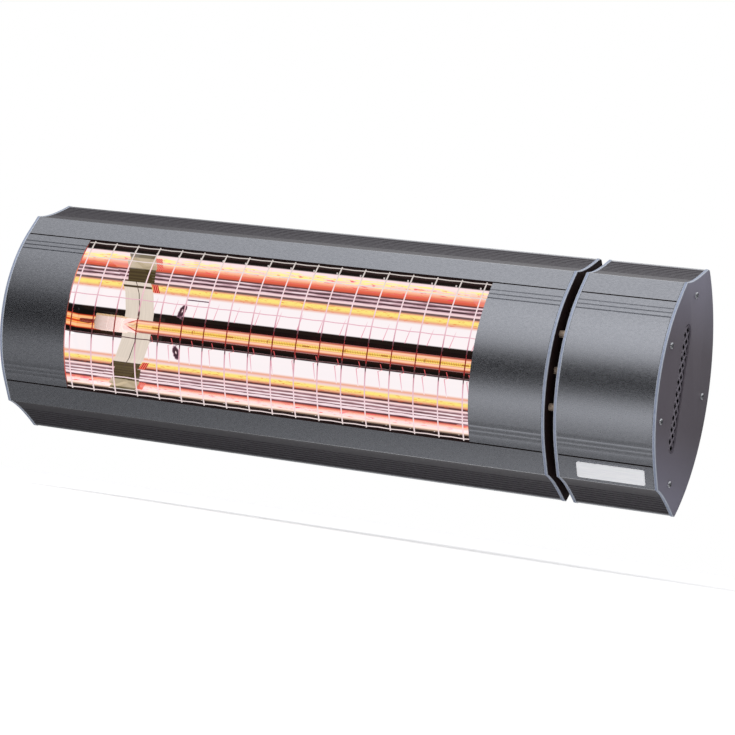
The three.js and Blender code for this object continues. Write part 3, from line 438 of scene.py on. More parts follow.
# The strap's image drifts right by a share of the height, less an offset.
strap = {"left": -235.5, "right": 113.5, "width": 29, "lift": 0.8, "fromEdge": 16, "imageWidth": 26,
         "onFlute": (0.65, -19.2), "onWall": (1.686, -70.7), "glow": 6.5}
clipImage = {"x": -188.8, "height": 18.6, "size": (4.2, 8), "lean": -0.6}
flute = {"pitch": 2.9, "phase": -0.38}
guard = {"upright": 0.55, "row": 0.42, "pitch": 21.85, "inset": 0.8, "rows": (17, 51), "edge": 64.1, "bow": 0.35,
         "short": 1.3, "imagePitch": 20.75, "imageStart": 0.84, "imageLean": -0.45}
guardCount = math.floor((windowRight - windowLeft - 2 * along["fit"]) / guard["pitch"]) + 1
guardFirst = (windowLeft + windowRight - (guardCount - 1) * guard["pitch"]) / 2


def litSheet(name, isStrap):
    material, tree, shader = newMaterial(name, {"Metallic": 1, "Roughness": 0.1, "Base Color": "2c2826"})
    x, z, far = placeInMm(tree)
    streak = grain(tree, (16, 1.6, 1.6), 3)
    isUpper = addNode(tree, "Math", "GREATER_THAN", z, 0)
    lower, upper = bandRamp(tree, far, lowerBands), bandRamp(tree, far, upperBands)
    colour = addNode(tree, "MixRGB", {}, isUpper, lower, upper)

    # painted reflections: patches of yellow and red on the outer walls, specks of orange on the middle facets
    for size, least, hue, source, low, high in (
            ((15, 3, 3), 0.47, "ffea76", z, 53.8, 58), ((9, 5, 5), 0.58, "e8304a", far, 50.8, 57),
            ((6, 0.8, 0.8), 0.58, "ea6a34", far, 31.6, 37.4)):
        strong = addNode(tree, "MapRange", {}, grain(tree, size, 4), least, least + 0.07)
        colour = paint(tree, colour, hue, [(source, low, high)], strong)

    # painted reflections: bright and dark lines on the fluted facets, one to a flute, dimmer above
    turns = addNode(tree, "Math", "MULTIPLY_ADD", z, 2 * math.pi / flute["pitch"], flute["phase"])
    wave = addNode(tree, "Math", "SINE", turns)
    mottle = addNode(tree, "Math", "MULTIPLY_ADD", streak, 3, wave)
    dimmer = addNode(tree, "Math", "MULTIPLY_ADD", isUpper, -0.4, mottle)
    hues = bandRamp(tree, dimmer, [(0.2, "452c32"), (0.9, "8a646e"), (1.5, "b8909a"), (2, "ecccd4"),
                                   (2.6, "fff0f4")])
    for low, high in ((41.6, 47.9), (-50, -40.3)):
        colour = paint(tree, colour, hues, [(z, low, high)])

    # the lamp's own image on the channel floor, past its left cap
    hues = bandRamp(tree, far, [
        (0, "c8321e"), (0.8, "e85a2a"), (1.4, "ffcf70"), (2, "f0743a"), (2.8, "ffc090"), (4.8, "ffc080"),
        (5.6, "d8482a"), (6.4, "5a1c14")])
    colour = paint(tree, colour, hues, [(x, -300, -261.2), (far, -1, 6.4)])

    # painted reflections of the holder's dark clips, seen twice in the inner facets beside the strap, then a
    # short dark streak of painted reflection
    across = addNode(tree, "Math", "MULTIPLY_ADD", far, clipImage["lean"], x)
    flat = addNode(tree, "CombineXYZ", {}, across, far)
    wide, tall = clipImage["size"]
    squashed = addNode(tree, "Mapping", {"Scale": (1 / wide, 1 / tall, 1), "Vector": flat})
    apart = addNode(tree, "VectorMath", "DISTANCE", squashed, (clipImage["x"] / wide, clipImage["height"] / tall, 0))
    ragged = addNode(tree, "Math", "MULTIPLY_ADD", grain(tree, (3, 3, 3), 3), 0.9, apart.outputs["Value"])
    covered = addNode(tree, "MapRange", {}, ragged, 1.2, 1.35, 1, 0)
    hues = bandRamp(tree, ragged, [(0.48, "fff0f0"), (0.6, "a87884"), (0.72, "3c2a30"), (1.1, "4a3440"),
                                   (1.35, "d8a0b4")])
    colour = paint(tree, colour, hues, [], covered)
    colour = paint(tree, colour, "6a4c5c", [(x, -173, -150), (z, 28.2, 29.2)])

    # the strap's image, which moves right as the flutes and the wall rise
    onFlute = addNode(tree, "Math", "MULTIPLY_ADD", far, *strap["onFlute"])
    onWall = addNode(tree, "Math", "MULTIPLY_ADD", far, *strap["onWall"])
    shift = addNode(tree, "Math", "MAXIMUM", onFlute, onWall)
    imageX = addNode(tree, "Math", "SUBTRACT", x, shift)
    imageEnd = strap["left"] + strap["imageWidth"]
    colour = paint(tree, colour, bandRamp(tree, far, imageBands),
                   [(far, 38.6, 60.2), (imageX, strap["left"], imageEnd)])

    # red ribs of the glowing coil beside the strap and beside its image
    ribTurns = addNode(tree, "Math", "MULTIPLY", x, math.pi)
    ribs = bandRamp(tree, addNode(tree, "Math", "SINE", ribTurns),
                    [(-0.6, "a81c18"), (0.2, "e03828"), (0.7, "ff9078")])
    strapEnd = strap["left"] + strap["width"]
    colour = paint(tree, colour, ribs, [(imageX, imageEnd, imageEnd + strap["glow"]), (far, 50, 57.6)])
    colour = paint(tree, colour, ribs, [(x, strapEnd, strapEnd + strap["glow"]), (far, 31.5, 38)])

    # images of the guard's uprights, red in the channel and fading up the inner facets
    lean = addNode(tree, "Math", "MULTIPLY_ADD", far, guard["imageLean"], x)
    count = addNode(tree, "Math", "MULTIPLY_ADD", lean, 1 / guard["imagePitch"], guard["imageStart"])
    share = addNode(tree, "Math", "FRACT", count)
    uprights = bandRamp(tree, far, [(6, "d85a5a"), (12, "c85660"), (14, "eca0b0"), (24, "f4c6d2"),
                                    (28, "fdeef0")])
    for low, high in ((13.6, 28), (-28, -6)):
        colour = paint(tree, colour, uprights, [(share, 0.48, 0.52), (z, low, high), (x, -236, 150)])

    if isStrap:
        # the strap's own faces, with a dark line of painted shade along the middle, as a crease would hold
        fromLeft = addNode(tree, "Math", "SUBTRACT", x, strap["left"] + strap["width"] / 2)
        fromRight = addNode(tree, "Math", "SUBTRACT", x, strap["right"] + strap["width"] / 2)
        lower, upper = [bandRamp(tree, far, strapBands[half]) for half in ("lower", "upper")]
        cream = addNode(tree, "MixRGB", {}, isUpper, lower, upper)
        for middle in (fromLeft, fromRight):
            cream = paint(tree, cream, "4a3a34", [(middle, -0.4, 0.4)])
        rolled = addNode(tree, "MapRange", {}, grain(tree, (0.9, 30, 30)), 0.3, 0.7, 0.92, 1.06)
        cream = addNode(tree, "MixRGB", {"blend_type": "MULTIPLY"}, 1, cream, rolled)
        colour = paint(tree, colour, cream, [(far, -1, 38.6)])

    # short pale images of the uprights in the dark flange
    start = addNode(tree, "Math", "SUBTRACT", x, guardFirst)
    steps = addNode(tree, "Math", "DIVIDE", start, guard["pitch"])
    share = addNode(tree, "Math", "FRACT", steps)
    colour = paint(tree, colour, "cfc4c2", [(share, 0.47, 0.53), (far, 59.8, 61.4)])
    setNode(tree, shader, {"Emission Color": colour, "Emission Strength": 0.97})
    return material


mirrorMetal = litSheet("polished aluminium lit by the lamp", False)
strapMetal = litSheet("bright stainless strap lit by the lamp", True)

# Bare aluminium sheet of the reflector's far end, with rolling lines.
endSheet = speckled("mill-finish aluminium", {"Metallic": 1, "Roughness": 0.3}, (0.5, 12, 0.5),
                    "9a9696", "b8b4b2")[0]

# Stainless wire. The lamp reddens what stands before it and lights the side that faces it. The wire
# before a part of the reflector is 7 mm lower than that part, so its tones are centred there.
wireMetal, tree, shader = speckled("stainless spring wire", {
    "Metallic": 1, "Roughness": 0.3, "Emission Strength": 0.9}, (4, 4, 4), "5e5456", "766c6e")[:3]
x, z, far = placeInMm(tree)
raised = addNode(tree, "Math", "ADD", z, 7)
front = bandRamp(tree, addNode(tree, "Math", "ABSOLUTE", raised), [
    (0, "82100c"), (6, "a01c18"), (7.5, "4c2a2c"), (12.5, "5c3c44"), (14.5, "d494a6"), (26, "ecc0cc"),
    (34, "f4ccd4"), (40, "fbe2e8"), (52, "fbe2e4"), (60, "e4dcd6"), (72, "cfc6c0")])
facing = addNode(tree, "SeparateXYZ", {0: addNode(tree, "TexCoord").outputs["Normal"]})
glow = paint(tree, front, "ff3a44", [(facing.outputs["Y"], 0.3, 1.1), (far, -1, 58)])
setNode(tree, shader, {"Emission Color": glow})

# Clear quartz tube round the burning coil: dark red rims, pale orange body. At its left end the
# glow starts as a point and the wall before it stays pale.
quartz, tree, shader = speckled("fused quartz, lit", {
    "Roughness": 0.08, "Emission Strength": 1, "Specular IOR Level": 0.3}, (30, 2, 2), "2a120a",
    "4a2414")[:3]
x, z, far = placeInMm(tree)
glow = bandRamp(tree, far, [
    (0, "d8963a"), (0.5, "e8b450"), (1.1, "ffe27c"), (1.7, "ffd49a"), (2.1, "f4a06c"), (2.6, "f9cfb4"),
    (3.6, "fdc8a8"), (4.2, "e08c68"), (4.8, "a03c28"), (5.5, "8a2c1e"), (6, "6e2018")])
point = addNode(tree, "Math", "MULTIPLY_ADD", x, 0.45, 226.5 * 0.45)
ahead = addNode(tree, "Math", "SUBTRACT", far, point)
glow = paint(tree, glow, "fbd6d2", [(ahead, 0, 30)])
glow = paint(tree, glow, "c8301c", [(ahead, -0.7, 0.5), (x, -226.8, -214)])
clear = addNode(tree, "MapRange", {}, far, 1.1, 2.4, 0.35, 0.97)
setNode(tree, shader, {"Emission Color": glow, "Alpha": clear})

# Wound tungsten at white heat, darker along the middle as painted shade, its tone wandering along the coil.
hotCoil, tree, shader, burn = speckled("tungsten coil, lit", {"Roughness": 0.6, "Emission Strength": 1.1},
                                       (20, 3, 3), "180c06", "2a160a")
far = placeInMm(tree)[2]
glow = bandRamp(tree, burn, [(0.34, "f09a3a"), (0.44, "ffd84a"), (0.7, "fff0a0")])
setNode(tree, shader, {"Emission Color": paint(tree, glow, "c87a2c", [(far, -1, 0.25)])})

# The coil's support loops and its straight parts between them, cooler.
supportWire, tree, shader, burn = speckled("tungsten supports", {"Roughness": 0.6, "Emission Strength": 1},
                                           (2, 2, 2), "180a06", "24120a")
setNode(tree, shader, {"Emission Color": bandRamp(tree, burn, [(0.3, "6a0c06"), (0.7, "a82410")])})

# Pressed and fired steatite: matt cream, with the lamp's light painted on as a glow that grows towards the tube
# and is dimmer, ochre, along the top.
steatite, tree, shader = speckled("fired steatite", {"Roughness": 0.8, "Emission Strength": 0.7},
                                  (1.2, 1.2, 1.2), "c9beb6", "e2d8d2", 4)[:3]
x, z, far = placeInMm(tree)
capGlow = bandRamp(tree, x, [(-259, "7a6a54"), (-250, "c8b4ae"), (-238, "e4ccc8"), (-230, "ffdcd8")])
setNode(tree, shader, {"Emission Color": paint(tree, capGlow, "a88a48", [(z, 5.2, 8)])})

# Small metals. Stainless screws are turned and bright.
screwSteel = speckled("turned stainless steel", {"Metallic": 0.9, "Roughness": 0.32}, (0.6, 0.6, 0.6),
                      "b0b2b8", "d6d8dc")[0]
# Spacer tubes in the gap: plain steel, browned by heat.
spacerSteel = speckled("heat-browned steel", {"Metallic": 0.3, "Roughness": 0.5}, (1.5, 1.5, 1.5), "9a8878",
                       "c8b4a0")[0]
# Zinc-plated bolts and nuts: pale, slightly cloudy.
zincSteel = speckled("zinc-plated steel", {"Metallic": 0.95, "Roughness": 0.36}, (3, 3, 3),
                     "a7aaa9", "cdd0cd", 4)[0]
# Powder coat on the bracket: dark grey with a fine orange peel.
powderCoat = speckled("powder-coated steel", {"Roughness": 0.5, "Specular IOR Level": 0.4},
                      (1.1, 1.1, 1.1), "37383d", "43444a", 3, 0.7)[0]
# Moulded black nylon: semi-matt, faint mould grain.
blackNylon = speckled("moulded black nylon", {"Roughness": 0.48}, (0.7, 0.7, 0.7),
                      "1b1b1e", "26262a", 3, 0.2)[0]
# Grey moulded nylon of the terminal block.
greyNylon = speckled("moulded grey nylon", {"Roughness": 0.45}, (0.8, 0.8, 0.8), "55565c", "63646a", 3)[0]
# Silicone sleeve on the leads, red-brown.
sleeve = speckled("extruded silicone sleeve", {"Roughness": 0.6}, (1, 0.8, 0.8), "8c2418", "c04a2c")[0]
# Brushed aluminium name plate, left bare: fine lines along X under a clear lacquer.
brushed = speckled("brushed aluminium plate", {"Roughness": 0.35, "Coat Weight": 0.3, "Coat Roughness": 0.15},
                   (18, 0.35, 0.35), "eceef2", "ffffff", 3)[0]
# Expanded steel mesh in the vent, anodised like the plate.
ventSteel = speckled("expanded steel mesh", {"Metallic": 0.35, "Roughness": 0.5}, (0.8, 0.8, 0.8), "746e77",
                     "8e8892")[0]
# Glass-fibre board under green solder resist.
boardResin = speckled("glass-fibre board", {"Roughness": 0.4}, (1.6, 1.6, 1.6), "1f5a38", "2b6e46")[0]
print("materials ready")


def ribbedFlank():
    line = [tipFront]
    for rib in range(section["ribs"]):
        middle = section["ribPitch"] * (rib + 0.75)
        half = section["ribWidth"] / 2
        for shift, share in ((-half, 0), (-half / 2, 0.75), (0, 1), (half / 2, 0.75), (half, 0)):
            line.append(flankAt(middle + shift, section["ribDepth"] * share))
    smoothStart = section["ribPitch"] * (section["ribs"] + 0.5)
    smoothSteps = 8
    for i in range(smoothSteps):
        line.append(flankAt(smoothStart + (flankLength - smoothStart) * i / smoothSteps))
    return line


lip = {"face": 1.8, "thickness": 1.5, "length": 4, "cornerRound": 0.8}


def housingOutline():
    seamStep = seamPoint - railNormal * lip["face"]
    lipEnd = seamStep + railStep * lip["length"]
    flankWay = (corner - flankAt(flankLength - 2)).normalized()
    outer = [
        Vector((slotFloor, section["slotWidth"] / 2)),
        Vector((rearLand - section["slotLip"], section["slotWidth"] / 2)),
        Vector((rearLand - section["slotLip"], section["slotMouth"] / 2)),
        Vector((rearLand, section["slotMouth"] / 2)),
        *rearArc(0, landAngle, tipAngle, 36),
        Vector((section["tipFront"] + 2 * section["tipRound"], halfHeight)),
        *ribbedFlank(),
        corner - flankWay * lip["cornerRound"],
        corner - (flankWay - railStep) * lip["cornerRound"] * 0.3,
        corner + railStep * lip["cornerRound"],
        seamPoint, seamStep, lipEnd,
        lipEnd - railNormal * lip["thickness"],
        corner - railNormal * (lip["face"] + lip["thickness"]),
    ]
    bossHeight = section["slotWidth"] + 2 * section["wall"]
    bossAngle = math.asin(bossHeight / 2 / (rearRadius - section["wall"]))
    inner = [
        *[flankAt(flankLength * share, section["wall"]) for share in (0.8, 0.6, 0.4, 0.2, 0.1)],
        *rearArc(section["wall"], tipAngle * 0.97, bossAngle, 16),
        Vector((bossFront, bossHeight / 2)),
    ]
    upper = outer + inner
    return upper + mirrored(upper)


def makeHousing(node, span):
    bm = extrudeOutline(housingOutline(), *span)
    for face in bm.faces:
        middle = face.calc_center_median()
        if abs(face.normal.x) > 0.5:
            continue
        # the flanks take the darker aluminium with its painted shade
        if abs(middle.z) > halfCorner + 0.2 and middle.y < section["tipFront"] + 1:
            face.material_index = 1
        # the seam lip behind the panels takes the near-black painted shade
        if abs(middle.z) < halfSeam + 0.6 and middle.y < 5:
            face.material_index = 2
    finishPiece(bm, [node], [anodised, flankShadedMetal, seamAndGapShade], 28)


makeHousing("body_housing", bodySpan)
makeHousing("box_housing", boxSpan)
print("housings made")

plates = {"overhang": 0.4, "chamfer": 0.8, "ventDepth": 17.5, "ventWidth": 17, "ventLength": 104,
          "ventLip": 1.4, "rebateWidth": 22, "rebateLength": 109, "bushDepth": 66, "bushRadius": 12.3,
          "smooth": 24}


def plateOutline():
    upper = [
        *rearArc(0, 0, tipAngle, 36),
        Vector((section["tipFront"] + 2 * section["tipRound"], halfHeight)),
        *[flankAt(flankLength * i / 16) for i in range(17)],
        *frontArc(0, seamAngle, 0, 32)[:-1],
    ]
    loop = [*upper, Vector((section["apexDepth"], 0)), *mirrored(upper)[:-1]]
    return offsetPath(loop, -plates["overhang"], True)


def slotTool(span, depth, length, width):
    reach = (length - width) / 2
    upper = [Vector((depth + p.x, reach + p.y)) for p in arc(0, width / 2, 0, math.pi, 16)]
    return extrudeOutline(upper + mirrored(upper), *span)


def makePlate(node, start, tools=(), gapSide=0):
    bm = extrudeOutline(plateOutline(), start, start + along["plate"])
    rims = [e for e in bm.edges if abs(e.verts[0].co.x - e.verts[1].co.x) < 1e-4]
    bevelEdges(bm, rims, plates["chamfer"], 2)
    for face in bm.faces:
        # rims and chamfers take the edge tone with its painted highlight
        if abs(face.normal.x) < 0.97:
            face.material_index = 1
        # a face towards the air gap takes the near-black painted shade
        elif face.normal.x * gapSide > 0:
            face.material_index = 2
    piece = finishPiece(bm, [node], [plateMetal, edgeHighlightMetal, seamAndGapShade], plates["smooth"])
    cutHoles(piece, tools, plates["smooth"])


def bushTool(start):
    across = 2 * plates["bushRadius"]
    return slotTool((start - 1, start + along["plate"] + 1), plates["bushDepth"], across + 0.01, across)


ventFace = rightEnd - plates["ventLip"]
bodyPlate, boxPlate = bodyRight - along["plate"], rightEnd - along["plate"]
makePlate("left_end_plate", leftEnd)
makePlate("body_right_end_plate", bodyPlate, [bushTool(bodyPlate)], 1)
makePlate("box_left_end_plate", boxLeft, [bushTool(boxLeft)], -1)
makePlate("box_right_end_plate", boxPlate, [
    slotTool((boxPlate - 1, rightEnd + 1), plates["ventDepth"], plates["ventLength"], plates["ventWidth"]),
    slotTool((boxPlate - 1, ventFace), plates["ventDepth"], plates["rebateLength"], plates["rebateWidth"])])
print("end plates made")

panels = {"thickness": 1.5, "seamGap": 1.25, "grooves": 3, "grooveStart": 8.4, "groovePitch": 4.1,
          "grooveWidth": 1.1, "grooveDepth": {"upper": 0.6, "lower": 0.12}}
panelEdge = seamAngle - panels["seamGap"] / frontRadius


def groovedArc(depth):
    line = [frontPoint(0, panelEdge)]
    half = panels["grooveWidth"] / 2 / frontRadius
    for i in range(panels["grooves"]):
        middle = seamAngle - (panels["grooveStart"] + i * panels["groovePitch"]) / frontRadius
        for shift, share in ((half, 0), (half / 2, 0.8), (0, 1), (-half / 2, 0.8), (-half, 0)):
            line.append(frontPoint(depth * share, middle + shift))
    return line


def makePanel(node, span, windowSide=0):
    plain = seamAngle - (panels["grooveStart"] + panels["grooves"] * panels["groovePitch"]) / frontRadius
    bm = extrudeOutline([
        *groovedArc(panels["grooveDepth"]["upper"]), *frontArc(0, plain, -plain, 48),
        *mirrored(groovedArc(panels["grooveDepth"]["lower"])),
        *frontArc(panels["thickness"], -panelEdge, panelEdge, 48)], *span)
    for face in bm.faces:
        if face.normal.x * windowSide > 0.9:
            face.material_index = 1
    finishPiece(bm, [node], [anodised, litEdge], 30)


makePanel("left_front_panel", (bodySpan[0], windowLeft), 1)
makePanel("right_front_panel", (windowRight, bodySpan[1]), -1)
makePanel("box_front_panel", boxSpan)
print("front panels made")


def makeGuard():
    reach = seamAngle - guard["short"] / frontRadius     # the uprights end just short of the seams
    bm = bmesh.new()
    for i in range(guardCount):
        x = guardFirst + i * guard["pitch"]
        line = frontArc(guard["inset"], reach, -reach, 40)
        sweepRing(bm, [Vector((x, *p)) for p in line], guard["upright"])
    left, right = windowLeft + along["fit"], windowRight - along["fit"]
    for height in [side * h for h in (*guard["rows"], guard["edge"]) for side in (1, -1)]:
        points = []
        for step in range(-1, 2 * guardCount):
            # each row sags a little between the uprights it is welded to
            bow = guard["bow"] if step % 2 else 0
            angle = math.copysign(math.asin((abs(height) - bow) / frontRadius), height)
            centre = frontPoint(guard["inset"] + guard["row"], angle)
            x = min(max(guardFirst + step * guard["pitch"] / 2, left), right)
            points.append(Vector((x, *centre)))
        sweepRing(bm, points, guard["row"])
    closeEnds(bm)
    finishPiece(bm, ["guard_grille"], [wireMetal], 60)


makeGuard()
print("guard made")

trough = {"thickness": 1, "leadLane": 6, "channelDepth": 9.5, "floorHeight": 22, "mouthHeight": 26,
          "innerReach": 6, "middleRise": 8.5, "middleReach": 7, "flutedRise": 12, "flutedReach": 14,
          "flutes": 5, "fluteDepth": 0.5, "outerRise": 9.5, "edgeDepth": 2, "edgeInset": 6,
          "flangeDepth": 5, "flangeGap": 0.5, "leftRoom": 10, "rightRoom": 34}
channelFloor = bossFront - trough["leadLane"] - trough["thickness"]
channelMouth = channelFloor - trough["channelDepth"]
reflectorSpan = (bodySpan[0] - along["seat"] + trough["leftRoom"],
                 bodySpan[1] + along["seat"] - trough["rightRoom"])
edgePoint = Vector((trough["edgeDepth"], halfSeam - trough["edgeInset"]))
mouthPoint = Vector((channelMouth, trough["mouthHeight"] / 2))
middleDepth = channelMouth - trough["innerReach"] - trough["middleReach"]
flutedPoint = Vector((middleDepth - trough["flutedReach"], edgePoint.y - trough["outerRise"]))
middlePoint = Vector((middleDepth, flutedPoint.y - trough["flutedRise"]))
innerPoint = Vector((middleDepth + trough["middleReach"], middlePoint.y - trough["middleRise"]))
flangePoint = Vector((trough["flangeDepth"], halfCorner + section["flankPull"][1] * trough["flangeDepth"]
                      / section["flankPull"][0] - section["wall"] - trough["flangeGap"]))


def flutes():
    step = (middlePoint - flutedPoint) / (4 * trough["flutes"])
    forward = Vector((step.y, -step.x)).normalized()
    swell = [math.sin(math.pi * i / 4) ** 2 for i in range(4 * trough["flutes"] + 1)]
    return [flutedPoint + step * i + forward * trough["fluteDepth"] * swell[i]
            for i in range(1, 4 * trough["flutes"])]


def makeReflector():
    upper = [flangePoint, edgePoint, flutedPoint, *flutes(), middlePoint, innerPoint, mouthPoint,
             Vector((channelFloor, trough["floorHeight"] / 2))]
    bm = extrudeSheet(upper + mirrored(upper), trough["thickness"], *reflectorSpan)
    finishPiece(bm, ["reflector"], [mirrorMetal], 25)


makeReflector()
dressNode("reflector_left_end", mirrorMetal, 0.2)
dressNode("reflector_right_end", endSheet, 0.2)
print("reflector made")

lamp = {"depth": channelFloor - 18.6, "left": leftEnd + 44, "right": bodyRight - 44, "tail": 3,
        "tailSide": 6.4, "cap": 30, "capSide": 14, "capBevel": 0.9, "radius": 6, "cone": 2,
        "coneRadius": 4.6, "sides": 40, "coilEnd": 44, "coilRadius": 1.3, "coilWire": 0.28,
        "coilPitch": 1.6, "coilSides": 12, "supportPitch": 36.5, "supportRadius": 2.1,
        "supportWire": 0.42, "barLength": 6.5, "barRadius": 0.62}
tubeLeft, tubeRight = lamp["left"] + lamp["cap"], lamp["right"] - lamp["cap"]


# The tube's ends stand a millimetre inside the caps.
def makeEnvelope():
    profile = [(0, tubeLeft - 1), (lamp["coneRadius"], tubeLeft - 1), (lamp["coneRadius"], tubeLeft),
               (lamp["radius"], tubeLeft + lamp["cone"]), (lamp["radius"], tubeRight - lamp["cone"]),
               (lamp["coneRadius"], tubeRight), (lamp["coneRadius"], tubeRight + 1), (0, tubeRight + 1)]
    bm = bmesh.new()
    turnProfile(bm, profile, lamp["sides"])
    bmesh.ops.translate(bm, vec=(0, lamp["depth"], 0), verts=bm.verts)
    nodes = ["lamp_tube", "lamp_left_seal", "lamp_right_seal"]
    finishPiece(bm, nodes, [quartz], 60, "lampEnvelope")


# The wound coil, then loops that hold it and straight bars between them, in turn.
def makeCoil():
    left, right = lamp["left"] + lamp["coilEnd"], lamp["right"] - lamp["coilEnd"]
    turns = round((right - left) / lamp["coilPitch"])
    bm = bmesh.new()
    spinRing(bm, (left, lamp["depth"], 0), lamp["coilRadius"], lamp["coilWire"], turns, right - left,
             turns * lamp["coilSides"], 5)
    coilFaces = len(bm.faces)
    count = round((right - left) / lamp["supportPitch"])
    for i in range(count):
        x = left + (right - left) * (i + 0.5) / count
        if i % 2:
            spinRing(bm, (x, lamp["depth"], 0), lamp["supportRadius"], lamp["supportWire"])
        else:
            reach, front = lamp["barLength"] / 2, lamp["depth"] - lamp["coilRadius"] - lamp["barRadius"]
            sweepRing(bm, [Vector((x - reach, front, 0)), Vector((x + reach, front, 0))], lamp["barRadius"])
    for face in bm.faces[:][coilFaces:]:
        face.material_index = 1
    closeEnds(bm)
    finishPiece(bm, ["lamp_filament"], [hotCoil, supportWire], 60)


# A ceramic block with a narrow tail for the lead and a groove round its middle.
def makeCap(node, start, side):
    half, tail, waist = lamp["capSide"] / 2, lamp["tailSide"] / 2, lamp["capSide"] / 2 - 0.5
    middle = (lamp["tail"] + lamp["cap"]) / 2
    stations = [(0, tail), (lamp["tail"], tail), (lamp["tail"], half), (middle - 1, half),
                (middle - 0.6, waist), (middle + 0.6, waist), (middle + 1, half), (lamp["cap"], half)]
    bm = bmesh.new()
    made = bmesh.ops.create_grid(bm, x_segments=1, y_segments=1, size=tail)["verts"]
    bmesh.ops.rotate(bm, cent=(0, 0, 0), matrix=Matrix.Rotation(math.pi / 2, 3, "Y"), verts=made)
    face = bm.faces[:][0]
    for (place, size), (nextPlace, nextSize) in zip(stations, stations[1:]):
        grown = bmesh.ops.extrude_face_region(bm, geom=[face])["geom"]
        verts = onlyVerts(grown)
        bmesh.ops.translate(bm, vec=(nextPlace - place, 0, 0), verts=verts)
        bmesh.ops.scale(bm, vec=(1, nextSize / size, nextSize / size), verts=verts)
        face = [f for f in grown if isinstance(f, bmesh.types.BMFace)][0]
    bmesh.ops.recalc_face_normals(bm, faces=bm.faces)
    long = [e for e in bm.edges if abs(e.verts[0].co.x - e.verts[1].co.x) > 2
            or min(e.verts[0].co.x, e.verts[1].co.x) > lamp["cap"] - 0.1]
    bevelEdges(bm, long, lamp["capBevel"], 3)
    bmesh.ops.scale(bm, vec=(side, 1, 1), verts=bm.verts)
    bmesh.ops.recalc_face_normals(bm, faces=bm.faces)
    bmesh.ops.translate(bm, vec=(start, lamp["depth"], 0), verts=bm.verts)
    finishPiece(bm, [node], [steatite], 30)


def makeStrap(node, start):
    top = edgePoint + (flutedPoint - edgePoint).normalized() * strap["fromEdge"]
    upper = [top, flutedPoint, middlePoint, innerPoint, mouthPoint]
    line = offsetPath(upper + mirrored(upper), -(trough["fluteDepth"] + along["fit"]))
    bm = extrudeSheet(line, -strap["lift"], start, start + strap["width"])
    bevelEdges(bm, sharpEdges(bm, 70), 0.15, 1)
    finishPiece(bm, [node], [strapMetal], 20)


makeEnvelope()
makeCoil()
makeCap("lamp_left_cap", lamp["left"], 1)
makeCap("lamp_right_cap", lamp["right"], -1)
makeStrap("lamp_left_holder", strap["left"])
makeStrap("lamp_right_holder", strap["right"])
dressNode("left_lead", sleeve, angle=70)
dressNode("right_lead", sleeve, angle=70)
print("lamp made")

screw = {"places": ((24.5, 76), (-19, 30), (75.5, 0), (-19, -30), (24.5, -76)), "radius": 2.7, "top": 2,
         "height": 1.4, "shank": 1.5, "length": 9, "socket": 1.05, "socketDepth": 0.9, "sides": 36}


# Pan heads with a hexagon socket, turned about X; the socket's ring is drawn out to six flats.
def makeScrews(side):
    bm = bmesh.new()
    for depth, height in screw["places"]:
        one = bmesh.new()
        seat = along["seat"]
        rim = screw["height"] + seat
        sunk = rim - screw["socketDepth"]
        turnProfile(one, [
            (0, sunk), (screw["socket"], sunk), (screw["socket"], rim), (screw["top"], rim),
            (screw["radius"] - 0.2, rim - 0.5), (screw["radius"], rim - 0.9),
            (screw["radius"], seat), (screw["shank"], seat), (screw["shank"], -screw["length"]),
            (0, -screw["length"])], screw["sides"])
        for vert in one.verts:
            if abs(math.hypot(vert.co.y, vert.co.z) - screw["socket"]) < 1e-3:
                turn = math.degrees(math.atan2(vert.co.z, vert.co.y)) % 60 - 30
                stretch = 0.94 / math.cos(math.radians(turn))
                vert.co.y *= stretch
                vert.co.z *= stretch
        if side < 0:
            bmesh.ops.rotate(one, cent=(0, 0, 0), matrix=Matrix.Rotation(math.pi, 3, "Z"), verts=one.verts)
        bmesh.ops.translate(one, vec=(rightEnd * side, depth, height), verts=one.verts)
        mesh = bpy.data.meshes.new("screw")
        one.to_mesh(mesh)
        one.free()
        bm.from_mesh(mesh)
        bpy.data.meshes.remove(mesh)
    label = "right" if side > 0 else "left"
    nodes = ["%s_plate_screw_%d" % (label, i + 1) for i in range(len(screw["places"]))]
    finishPiece(bm, nodes, [screwSteel], 30, label + "PlateScrews")


makeScrews(1)
makeScrews(-1)
for number in (1, 2, 3):
    dressNode("gap_spacer_%d" % number, spacerSteel)
dressNode("lead_bush", blackNylon, 0.5)
print("screws, spacers and bush made")

vent = {"pitch": 6.7, "strand": 1.15, "flat": 0.45, "width": 21, "length": 108, "clear": 0.1}


# Expanded mesh: flat strands cross slantwise and stop at the rebate that holds them.
def makeVentMesh():
    bm = bmesh.new()
    radius, reach = vent["width"] / 2, (vent["length"] - vent["width"]) / 2
    step = vent["pitch"] * math.sqrt(2)
    count = math.ceil((reach + 2 * radius) / step)
    samples = [radius * i / 40 for i in range(-40, 41)]
    for way in (1, -1):
        for i in range(-count, count + 1):
            inside = [a for a in samples
                      if math.hypot(a, max(0, abs(i * step + way * a) - reach)) < radius - vent["strand"] / 2]
            if len(inside) > 6:
                ends = [Vector((0, a, i * step + way * a)) for a in (inside[0], inside[-1])]
                sweepRing(bm, ends, vent["strand"])
    closeEnds(bm)
    thick = vent["strand"] * vent["flat"]
    bmesh.ops.scale(bm, vec=(vent["flat"], 1, 1), verts=bm.verts)
    bmesh.ops.translate(bm, vec=(ventFace - vent["clear"] - thick, plates["ventDepth"], 0), verts=bm.verts)
    finishPiece(bm, ["vent_grid"], [ventSteel], 60, "ventMesh")


makeVentMesh()


badge = {"border": 0.8, "step": 0.15, "sunk": 0.2}


